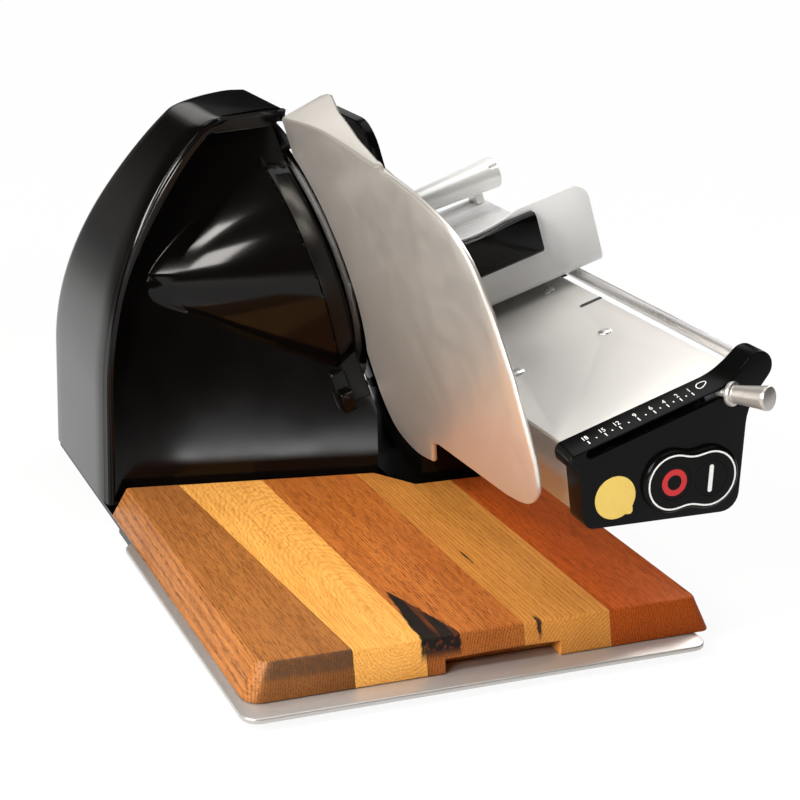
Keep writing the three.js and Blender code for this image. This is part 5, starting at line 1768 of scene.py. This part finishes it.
@dataclass
class Controls:
    """Control panel with its scale, switch, label and thickness lever."""

    slicer: Slicer
    front: float = 26.5
    back: float = 47.2
    left_c: float = 276.0
    top_v: float = 75.0
    brink_v: float = 71.3
    bottom: float = 101.0
    right: float = 382.0
    wall: float = 3.3
    neck: float = 6.0
    face: float = 4.0
    edge_round: float = 0.9
    boss: tuple[float, float, float] = (434.0, 74.0, 12.0)
    slot_c: Flat = (290.0, 408.0)
    slot_v: Flat = (63.5, 70.4)
    switch: Flat = (338.0, 131.0)
    button_pitch: float = 30.0
    button_radius: float = 13.4
    button_thickness: float = 3.0
    bezel_radius: float = 24.0
    bezel_round: float = 3.0
    bezel_back: float = 26.2
    bezel_front: float = 21.5
    outline_radius: float = 20.4
    outline_width: float = 1.3
    waist: float = 2.2
    stem: Flat = (3.4, 7.2)
    inset: float = 0.05
    ring: Flat = (7.9, 4.4)
    bar: Flat = (1.7, 10.5)
    print_height: float = 0.12
    label: tuple[float, float, float] = (278.5, 123.0, 16.2)
    tail: tuple[float, float, float] = (318.0, 0.18, 0.14)
    numbers: tuple[tuple[str, float], ...] = (
        ("18", 297.0), ("15", 311.0), ("12", 323.0), ("9", 338.0),
        ("6", 351.0), ("4", 362.0), ("2", 373.0), ("1", 383.0),
    )
    number_size: float = 6.4
    number_y: float = 37.0
    tick: tuple[float, float, float] = (33.4, 0.8, 3.8)
    dot: tuple[float, float, float] = (34.6, 1.0, 1.2)
    mark: Flat = (393.6, 39.0)
    mark_width: float = 0.7
    lever_c: float = 401.0
    lever_v: float = 67.0
    lever_turn: float = 25.0

    def band(self, y: float) -> float:
        """Give v of the sloping scale band at a place along Y."""
        return between((self.brink_v, self.top_v), (y - self.front) / (self.back - self.front))

    def outline(self) -> list[Flat]:
        """Draw the panel with its boss, from the left top round to the right.

        Returns:
            Points of the outline as (x, z).
        """
        c, v, radius = self.boss
        start = Vector(Drawing.upright(c - 38, self.top_v))
        along, up = Vector((COS, SIN)), Vector((-SIN, COS))
        middle = Vector(Drawing.upright(c, v))
        meet = math.radians(120)
        touch = middle + (along * math.cos(meet) + up * math.sin(meet)) * radius
        lead = along * math.sin(meet) - up * math.cos(meet)
        points = [Vector(Drawing.upright(self.left_c, self.top_v))]
        points += curve(start, start + along * 12, touch - lead * 10, touch, 8)
        first, last = meet + LEAN, math.radians(-35)
        for angle in steps_between(first, last, 14):
            points.append(middle + Vector((math.cos(angle), math.sin(angle))) * radius)
        leave = points[-1]
        drop = Vector((math.sin(last), -math.cos(last)))
        low = Vector((self.right, leave.y - 35))
        points += curve(leave, leave + drop * 12, low + Vector((0, 15)), low, 8)
        foot = (self.bottom - (self.left_c - 1) * SIN) / COS
        side = [(self.left_c - 1, foot), (self.left_c + self.neck, 58.0), (self.left_c, 63.5)]
        points += [Vector((self.right, self.bottom)), *(Vector(Drawing.upright(*spot)) for spot in side)]
        radii = [6.0] + [0.0] * (len(points) - 5) + [14.0, 9.0, 3.0, 3.5]
        return fillet([tuple(point) for point in points], radii)

    def build(self) -> None:
        """Build the panel and what is on it."""
        self.build_panel()
        self.build_switch()
        self.build_label()
        self.build_scale()
        self.build_lever()
        self.slicer.keep("switch_body", PLASTIC)
        self.slicer.keep("lever_slider", DARK)

    def build_panel(self) -> None:
        """Build the hollow cap with its slot and bores."""
        points = [Drawing.at(x, self.front, z) for x, z in self.outline()]
        panel = Bench.slab("panel_cap", points, Vector((0, (self.back - self.front) * MM, 0)))
        for vertex in panel.data.vertices:
            flat = Drawing.flat(vertex.co)
            c, v = Drawing.tilted(flat.x, flat.z)
            share = held((self.boss[0] - c) / 30) * held((v - 60) / 12)
            if flat.y < self.front + 1:
                vertex.co = Drawing.leaning(c, flat.y, v - share * (self.top_v - self.brink_v))
        Bench.soften(panel, self.edge_round, 4, 30, self.ahead)
        left, right = self.left_c + self.neck + self.wall, self.right - self.wall
        top, low = self.top_v - self.wall, self.bottom + self.wall
        foot = (low - left * SIN) / COS
        inside = [
            Drawing.upright(left, top), Drawing.upright(left, foot), (right, low),
            (right, right * math.tan(LEAN) + top / COS),
        ]
        hollow = [Drawing.at(x, self.front + self.face, z) for x, z in fillet(inside, [0.5, 3.0, 10.0, 2.0])]
        Bench.cut(panel, Bench.slab("panel_hollow", hollow, Vector((0, (self.back - self.front) * MM, 0))))
        radius = (self.slot_v[1] - self.slot_v[0]) / 2 * 0.95
        slot = rounded((*self.slot_c, *self.slot_v), [radius] * 4)
        points = [Drawing.leaning(c, self.front - 5, v) for c, v in slot]
        Bench.cut(panel, Bench.slab("lever_slot", points, Vector((0, (self.face + 5.3) * MM, 0))))
        ahead = Vector((0, 1, 0))
        bores = [(Drawing.leaning(self.boss[0], self.back - 12.3, self.boss[1]), 5.3, 20)]
        for x in self.buttons():
            bores.append((Drawing.at(x, self.front - 5, self.switch[1]), 3.8, 10))
        for spot, radius, reach in bores:
            Bench.cut(panel, Bench.turned("bore", rod(radius, reach), spot, ahead, 32))
        Bench.smooth(panel, 35)
        self.slicer.place(panel, Body.BASE, "black_plastic", PLASTIC, ["control_panel"])

    def buttons(self) -> tuple[float, float]:
        """Give x of the off button and of the on button."""
        return (self.switch[0] - self.button_pitch / 2, self.switch[0] + self.button_pitch / 2)

    def ahead(self, edge: bmesh.types.BMEdge) -> bool:
        """Tell whether an edge is off the panel's open back."""
        return any(Drawing.flat(vertex.co).y < self.back - 1 for vertex in edge.verts)

    def ribbon(
        self,
        name: str,
        line: Callable[[float], Flat],
        width: float,
        spot: Callable[[float, float], Vector],
        push: Vector,
    ) -> Piece:
        """Lay a closed printed line on a flat place.

        Args:
            name: Name of the piece.
            line: Point on the flat place for a share of the way round.
            width: Width of the line.
            spot: Point in the shared frame for a point on the flat place.
            push: Thickness of the print.

        Returns:
            The printed line as a thin closed band.
        """

        def place(across: float, along: float) -> Vector:
            """Give a point of the line.

            Args:
                across: Share of the width.
                along: Share of the length.

            Returns:
                The point in the shared frame.
            """
            here, after = Vector(line(along)), Vector(line(along + 0.002))
            way = (after - here).normalized()
            side = Vector((way.y, -way.x)) * width * (across - 0.5)
            return spot(here.x + side.x, here.y + side.y)

        piece = Bench.sheet(name, 1, 120, place)
        Bench.edit(piece)
        bpy.ops.mesh.remove_doubles(threshold=WELD)
        Bench.thicken(push)
        return piece

    def pad(self, share: float, radius: float, waist: float) -> Flat:
        """Give a point of the switch's waisted outline.

        Args:
            share: Share of the way round.
            radius: Radius of both ends.
            waist: How far the middle is drawn in.

        Returns:
            The point as (x, z).
        """
        half = self.button_pitch / 2
        turn, straight = math.pi * radius, 2 * half
        way = (share % 1.0) * 2 * (turn + straight)
        side = 1.0
        if way >= turn + straight:
            way -= turn + straight
            side = -1.0
        if way < turn:
            angle = way / radius - math.pi / 2
            across, up = half + radius * math.cos(angle), radius * math.sin(angle)
        else:
            across = half - (way - turn)
            up = radius - waist * math.cos(math.pi * across / (2 * half)) ** 2
        return (self.switch[0] + side * across, self.switch[1] + side * up)

    def build_switch(self) -> None:
        """Build the switch's pad and buttons and print the outline, ring and bar."""
        push = Vector((0, self.print_height * MM, 0))
        ahead = Vector((0, 1, 0))
        z = self.switch[1]
        points = [self.pad(step / 96, self.bezel_radius, self.waist) for step in range(96)]
        bezel = Bench.slab(
            "switch_pad",
            [Drawing.at(a, self.bezel_front, b) for a, b in points],
            Vector((0, (self.bezel_back - self.bezel_front) * MM, 0)),
        )
        Bench.soften(bezel, self.bezel_round, 5, 30, lambda edge: all(
            Drawing.flat(vertex.co).y < self.bezel_back - 1 for vertex in edge.verts
        ))
        for x in self.buttons():
            hole = rod(self.button_radius + 0.12, 20)
            Bench.cut(bezel, Bench.turned("button_hole", hole, Drawing.at(x, self.front - 15, z), ahead, 64))
        Bench.smooth(bezel, 35)
        self.slicer.place(bezel, Body.BASE, "black_plastic", PLASTIC, ["switch_bezel"])
        radius, deep = self.button_radius, self.button_thickness
        stem, end = self.stem
        profile = [
            (0, 0), (radius - 0.15, 0), (radius, 0.15), (radius, deep), (stem, deep), (stem, end), (0, end),
        ]
        top = self.bezel_front + self.inset
        for x, body, node in zip(self.buttons(), (Body.OFF, Body.ON), ("off_button", "on_button")):
            button = Bench.turned(f"{node}_cap", profile, Drawing.at(x, top, z), ahead, 64)
            Bench.smooth(button, 35)
            self.slicer.place(button, body, "black_plastic", PLASTIC, [node])

        def spot(a: float, b: float) -> Vector:
            """Give a point on the buttons' printed face."""
            return Drawing.at(a, top - self.print_height, b)

        def circle(share: float) -> Flat:
            """Give a point of the off button's ring."""
            angle = 2 * math.pi * share
            return (self.buttons()[0] + self.ring[0] * math.cos(angle), z + self.ring[0] * math.sin(angle))

        def edge(share: float) -> Flat:
            """Give a point of the line round both buttons."""
            return self.pad(share, self.outline_radius, self.waist)

        line = self.ribbon("switch_outline", edge, self.outline_width, spot, push)
        self.slicer.place(line, Body.BASE, "black_plastic", WHITE)
        ring = self.ribbon("off_mark", circle, self.ring[1], spot, push)
        self.slicer.place(ring, Body.OFF, "black_plastic", RED)
        x = self.buttons()[1]
        wide, high = self.bar
        bar = rounded((x - wide, x + wide, z - high, z + high), [1.6] * 4)
        mark = Bench.slab("on_mark", [spot(a, b) for a, b in bar], push)
        self.slicer.place(mark, Body.ON, "black_plastic", WHITE)

    def build_label(self) -> None:
        """Stick the plain round label with its small tail on the panel."""
        x, z, radius = self.label
        way, longer, wide = self.tail
        points: list[Flat] = []
        for step in range(64):
            angle = math.radians(360 * step / 64)
            away = abs((angle - math.radians(way) + math.pi) % (2 * math.pi) - math.pi)
            reach = radius * (1 + longer * held(1.6 - away / wide))
            points.append((x + reach * math.cos(angle), z + reach * math.sin(angle)))
        y = self.front - self.print_height
        push = Vector((0, self.print_height * MM, 0))
        label = Bench.slab("round_label", [Drawing.at(a, y, b) for a, b in points], push)
        self.slicer.place(label, Body.BASE, "black_plastic", YELLOW)

    def build_scale(self) -> None:
        """Print the thickness numbers, their ticks and dots and a plain mark on the scale band."""
        across = Vector((COS, 0, SIN))
        near, far = Drawing.leaning(0, self.front, self.brink_v), Drawing.leaning(0, self.back, self.top_v)
        slope = (far - near).normalized()
        normal = across.cross(slope)
        turn = Matrix((across, slope, normal)).transposed().to_4x4()
        push = normal * self.print_height * MM
        lift = normal * 0.02 * MM

        def spot(c: float, y: float) -> Vector:
            """Give a point on the scale band."""
            return Drawing.leaning(c, y, self.band(y)) + lift

        def dash(c: float, y: float, width: float, length: float) -> Piece:
            """Print a small rectangle."""
            corners = [(-1, -1), (1, -1), (1, 1), (-1, 1)]
            return Bench.slab("dash", [spot(c + a * width / 2, y + b * length / 2) for a, b in corners], push)

        def leg(share: float) -> Flat:
            """Give a point of the plain mark's egg-shaped line.

            Args:
                share: Share of the way round.

            Returns:
                The point as (c, y).
            """
            angle = 2 * math.pi * share
            wide = 2.8 - math.cos(angle)
            c, y = self.mark
            return (c + 4.4 * math.cos(angle), y + wide * math.sin(angle) + math.cos(angle))

        pieces = [self.ribbon("plain_mark", leg, self.mark_width, spot, push)]
        for text, c in self.numbers:
            Bench.clear()
            bpy.ops.object.text_add()
            words = bpy.context.object
            words.data.body = text
            words.data.align_x = "CENTER"
            words.data.size = self.number_size * MM
            words.data.extrude = self.print_height * MM / 2
            bpy.ops.object.convert(target="MESH")
            words = bpy.context.object
            narrow = Matrix.Diagonal((0.82, 1.0, 1.0, 1.0))
            words.data.transform(Matrix.Translation(spot(c, self.number_y) + push / 2) @ turn @ narrow)
            pieces.append(words)
            pieces.append(dash(c, *self.tick))
        for (_, here), (_, after) in zip(self.numbers, self.numbers[1:]):
            pieces.append(dash((here + after) / 2, *self.dot))
        self.slicer.place(Bench.join("scale_print", pieces), Body.BASE, "black_plastic", WHITE)

    def build_lever(self) -> None:
        """Turn the thickness lever with its collar and tapered grip."""
        turn = math.radians(self.lever_turn)
        axis = Vector((math.sin(turn) * COS, -math.cos(turn), math.sin(turn) * SIN))
        start = Drawing.leaning(self.lever_c, self.front + self.face + 0.3, self.lever_v)
        profile = [
            (0, -0.5), (2.8, -0.5), (2.8, 10.0), (8.0, 10.0), (8.8, 10.7),
            (9.0, 11.6), (9.0, 12.8), (8.6, 13.8), (7.6, 14.2), (6.8, 14.3),
            (6.6, 14.8), (6.7, 16.0), (7.6, 28.0), (8.4, 36.0), (8.8, 38.6),
            (8.95, 40.0), (8.9, 41.4), (8.5, 42.5), (7.6, 43.0), (0, 43.0),
        ]
        lever = Bench.turned("lever_knob", profile, start, axis, 56)
        Bench.smooth(lever, 40)
        self.slicer.place(lever, Body.LEVER, "satin_aluminium", SPUN, ["thickness_lever"])


@dataclass
class Carriage:
    """Food table, grip, rail and pusher."""

    slicer: Slicer
    table_c: Flat = (264.0, 453.0)
    table_y: Flat = (292.0, 498.0)
    table_v: float = 85.3
    ribs: int = 26
    rib_height: float = 0.7
    rib_thickness: float = 0.8
    rib_margin: float = 3.0
    handle: Flat = (470.0, 122.0)
    handle_c: float = 317.3
    handle_length: float = 137.0
    notch_turns: tuple[float, ...] = (20.0, 140.0, 260.0)
    notch_away: float = 14.6
    notch_length: float = 9.0

    def build(self) -> None:
        """Dress the carriage and build its ribs and the pusher's handle."""
        body = Body.CARRIAGE
        nodes = (
            ("food_table", 0.35, "satin_aluminium", ANODISED, body),
            ("slide_block", 0.8, "black_plastic", PLASTIC, body),
            ("glide_shoe", 0.8, "black_plastic", PLASTIC, body),
            ("carriage_grip", 0.6, "black_lacquer", LACQUER, body, 4),
            ("rail_post_left", 1.2, "satin_aluminium", SATIN, body),
            ("rail_post_right", 1.2, "satin_aluminium", SATIN, body),
            ("pusher_rail", 0.5, "polished_steel", POLISHED, body),
            ("press_plate", 1.2, "black_plastic", PLASTIC, Body.PUSHER),
            ("pusher_sleeve", 0.6, "black_plastic", PLASTIC, Body.CARRIER),
        )
        for row in nodes:
            self.slicer.refine(*row)
        self.build_ribs()
        self.build_handle()

    def build_ribs(self) -> None:
        """Press fine ribs along the table's top."""
        start, end = self.table_y
        pitch = (end - start) / self.ribs
        low, high = self.table_c

        def ripple(across: float, along: float) -> Vector:
            """Give a point of the ribbed top.

            Args:
                across: Share of the width.
                along: Share of the length.

            Returns:
                The point in the shared frame.
            """
            c = between((low + self.rib_margin, high - self.rib_margin), across)
            y = between(self.table_y, along)
            wave = abs(math.sin(math.pi * (y - start) / pitch))
            rise = self.rib_height * wave ** 0.5 if 0 < across < 1 else -0.3
            return Drawing.leaning(c, y, self.table_v + rise)

        piece = Bench.sheet("table_ribs", 12, self.ribs * 8, ripple)
        Bench.edit(piece)
        Bench.thicken(Vector((SIN, 0, -COS)) * self.rib_thickness * MM)
        Bench.smooth(piece, 50)
        self.slicer.place(piece, Body.CARRIAGE, "satin_aluminium", ANODISED)

    def build_handle(self) -> None:
        """Turn the pusher's handle and notch its end."""
        length = self.handle_length
        profile = [
            (0, 0), (9.4, 0), (10.3, 0.9), (10.4, 12), (11.2, 50), (12.6, 95), (13.8, 122),
            (14.4, 130), (14.5, 134.5), (13.9, 136.3), (12.4, length), (9.2, length),
            (8.4, length - 1.5), (0, length - 1.8),
        ]
        axis = Vector((COS, 0, SIN))
        start = Drawing.leaning(self.handle_c, *self.handle)
        handle = Bench.turned("pusher_grip", profile, start, axis, 56)
        notch = [(0, 0), (1.6, 0.3), (2.6, 1.6), (2.6, 12), (0, 12)]
        for turn in self.notch_turns:
            angle = math.radians(turn)
            y = self.handle[0] + self.notch_away * math.cos(angle)
            v = self.handle[1] + self.notch_away * math.sin(angle)
            centre = Drawing.leaning(self.handle_c + length - self.notch_length, y, v)
            Bench.cut(handle, Bench.turned("notch", notch, centre, axis, 24))
        Bench.smooth(handle, 35)
        self.slicer.place(handle, Body.PUSHER, "satin_aluminium", TURNED, ["pusher_handle"])


@dataclass
class Studio:
    """Camera, lamps, world and floor."""

    spot: Colour = (-0.5451, -1.3028, 0.590)
    right: Colour = (0.9197, -0.3909, 0.0370)
    up: Colour = (0.0920, 0.3061, 0.9475)
    behind: Colour = (-0.3817, -0.8680, 0.3175)
    lens: float = 82.21
    floor_radius: float = 9.0
    floor_middle: Colour = (0.0, 5.8, 0.0)
    floor_light: Flat = (0.91, 0.99)
    floor_near: Flat = (0.5, 1.1)
    floor_fade: Flat = (0.45, 2.0)
    dim: Colour = (0.012, 0.0115, 0.0115)
    glow: Colour = (0.95, 0.94, 0.92)
    glow_way: Colour = (0.11, 0.87, 0.48)
    haze: Colour = (0.20, 0.185, 0.17)
    warm: Colour = (1.0, 0.965, 0.92)

    def build(self) -> None:
        """Set up the whole studio."""
        self.build_camera()
        self.build_world()
        self.build_floor()
        self.lamp("upper_softbox", (-1.255, -0.41, 1.03), (-0.05, 0.05, 0.18), (0.28, 0.95), 29, self.warm)
        self.lamp("lower_softbox", (-1.015, -0.95, 0.775), (-0.05, 0.05, 0.18), (0.30, 0.42), 12, self.warm)
        self.lamp("floor_softbox", (0.02, -1.2, 0.003), (0.02, -1.2, 1.0), (0.36, 0.62), 12)
        self.lamp("ceiling", (0.45, 0.1, 2.2), (0.0, 0.0, 0.1), (2.0, 2.0), 26)
        self.lamp("right_softbox", (0.95, 0.32, 0.80), (0.1, 0.1, 0.2), (0.4, 0.4), 7, self.warm)

    def build_camera(self) -> None:
        """Place the camera as in the photograph."""
        data = bpy.data.cameras.new("photo_camera")
        data.lens = self.lens
        data.sensor_width = 36.0
        camera = bpy.data.objects.new("photo_camera", data)
        bpy.context.scene.collection.objects.link(camera)
        columns = Matrix((self.right, self.up, self.behind)).transposed()
        camera.matrix_world = Matrix.Translation(self.spot) @ columns.to_4x4()
        bpy.context.scene.camera = camera

    def build_world(self) -> None:
        """Light the room dimly, with a soft pale place at the back and haze along the back left."""
        world = bpy.data.worlds.new("studio")
        bpy.context.scene.world = world
        world.use_nodes = True
        sky = Shader.over(world)
        facing = sky.node("ShaderNodeVectorMath", {0: sky.place, 1: self.glow_way}, operation="DOT_PRODUCT")
        colour = sky.blend(sky.span(facing.outputs["Value"], 0.93, 0.985), self.dim, self.glow)
        x, y, z = sky.parts(sky.place)
        low = sky.span(z, 0.0, 0.3, 1, 0)
        back = sky.product(sky.span(y, 0.3, 0.7), sky.span(x, -0.1, 0.25, 1, 0))
        sky.dress(Color=sky.blend(sky.product(low, back), colour, self.haze))

    def build_floor(self) -> None:
        """Lay the white floor, which keeps a faint shadow."""
        Bench.clear()
        bpy.ops.mesh.primitive_circle_add(
            vertices=96, radius=self.floor_radius, fill_type="NGON", location=self.floor_middle
        )
        bpy.ops.object.transform_apply(location=True)
        floor = bpy.context.object
        floor.name = "studio_floor"
        shader = Shader("white_floor")
        mottle = shader.noise(shader.place, 3)
        shader.dress(Base_Color=shader.blend(mottle, (0.84, 0.84, 0.84), (0.86, 0.86, 0.86)), Roughness=0.9)
        ray = shader.node("ShaderNodeLightPath")
        away = shader.length(shader.place)
        mirror = shader.sum("MAXIMUM", ray.outputs["Is Glossy Ray"], ray.outputs["Is Transmission Ray"])
        mirror = shader.product(mirror, shader.span(away, *self.floor_fade, 1.0, 0.15))
        seen = shader.sum("MAXIMUM", ray.outputs["Is Camera Ray"], mirror)
        pale = shader.span(away, *self.floor_near, *self.floor_light)
        glow = shader.node("ShaderNodeEmission", {"Color": (1.0, 1.0, 1.0), "Strength": 1.0})
        mixed = shader.node("ShaderNodeMixShader", {0: shader.product(seen, pale)})
        shader.tree.links.new(shader.surface.outputs[0], mixed.inputs[1])
        shader.tree.links.new(glow.outputs[0], mixed.inputs[2])
        shader.tree.links.new(mixed.outputs[0], shader.tree.nodes["Material Output"].inputs[0])
        floor.data.materials.append(shader.material)

    def lamp(
        self,
        name: str,
        spot: Colour,
        aim: Colour,
        size: Flat,
        power: float,
        tint: Colour = (1.0, 1.0, 1.0),
    ) -> None:
        """Hang a soft area lamp.

        Args:
            name: Name of the lamp.
            spot: Place in metres.
            aim: Point that it faces.
            size: Width and height in metres.
            power: Power in watts.
            tint: Colour of its light.
        """
        data = bpy.data.lights.new(name, "AREA")
        data.shape = "RECTANGLE"
        data.size, data.size_y = size
        data.energy = power
        data.color = tint
        lamp = bpy.data.objects.new(name, data)
        bpy.context.scene.collection.objects.link(lamp)
        lamp.location = spot
        lamp.rotation_euler = (Vector(aim) - Vector(spot)).to_track_quat("-Z", "Y").to_euler()


def main() -> None:
    """Build the studio and every sub-assembly."""
    logging.basicConfig(level=logging.INFO, format="%(name)s: %(message)s")
    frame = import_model()
    Drawing.settle()
    bpy.context.scene.view_settings.view_transform = "Standard"
    Bench.clear()
    slicer = Slicer(frame["nodes"])
    Studio().build()
    for assembly in (Stand, Housing, BladeUnit, GaugePlate, Arm, Controls, Carriage):
        assembly(slicer).build()
    Bench.clear()


if __name__ == "__main__":
    main()
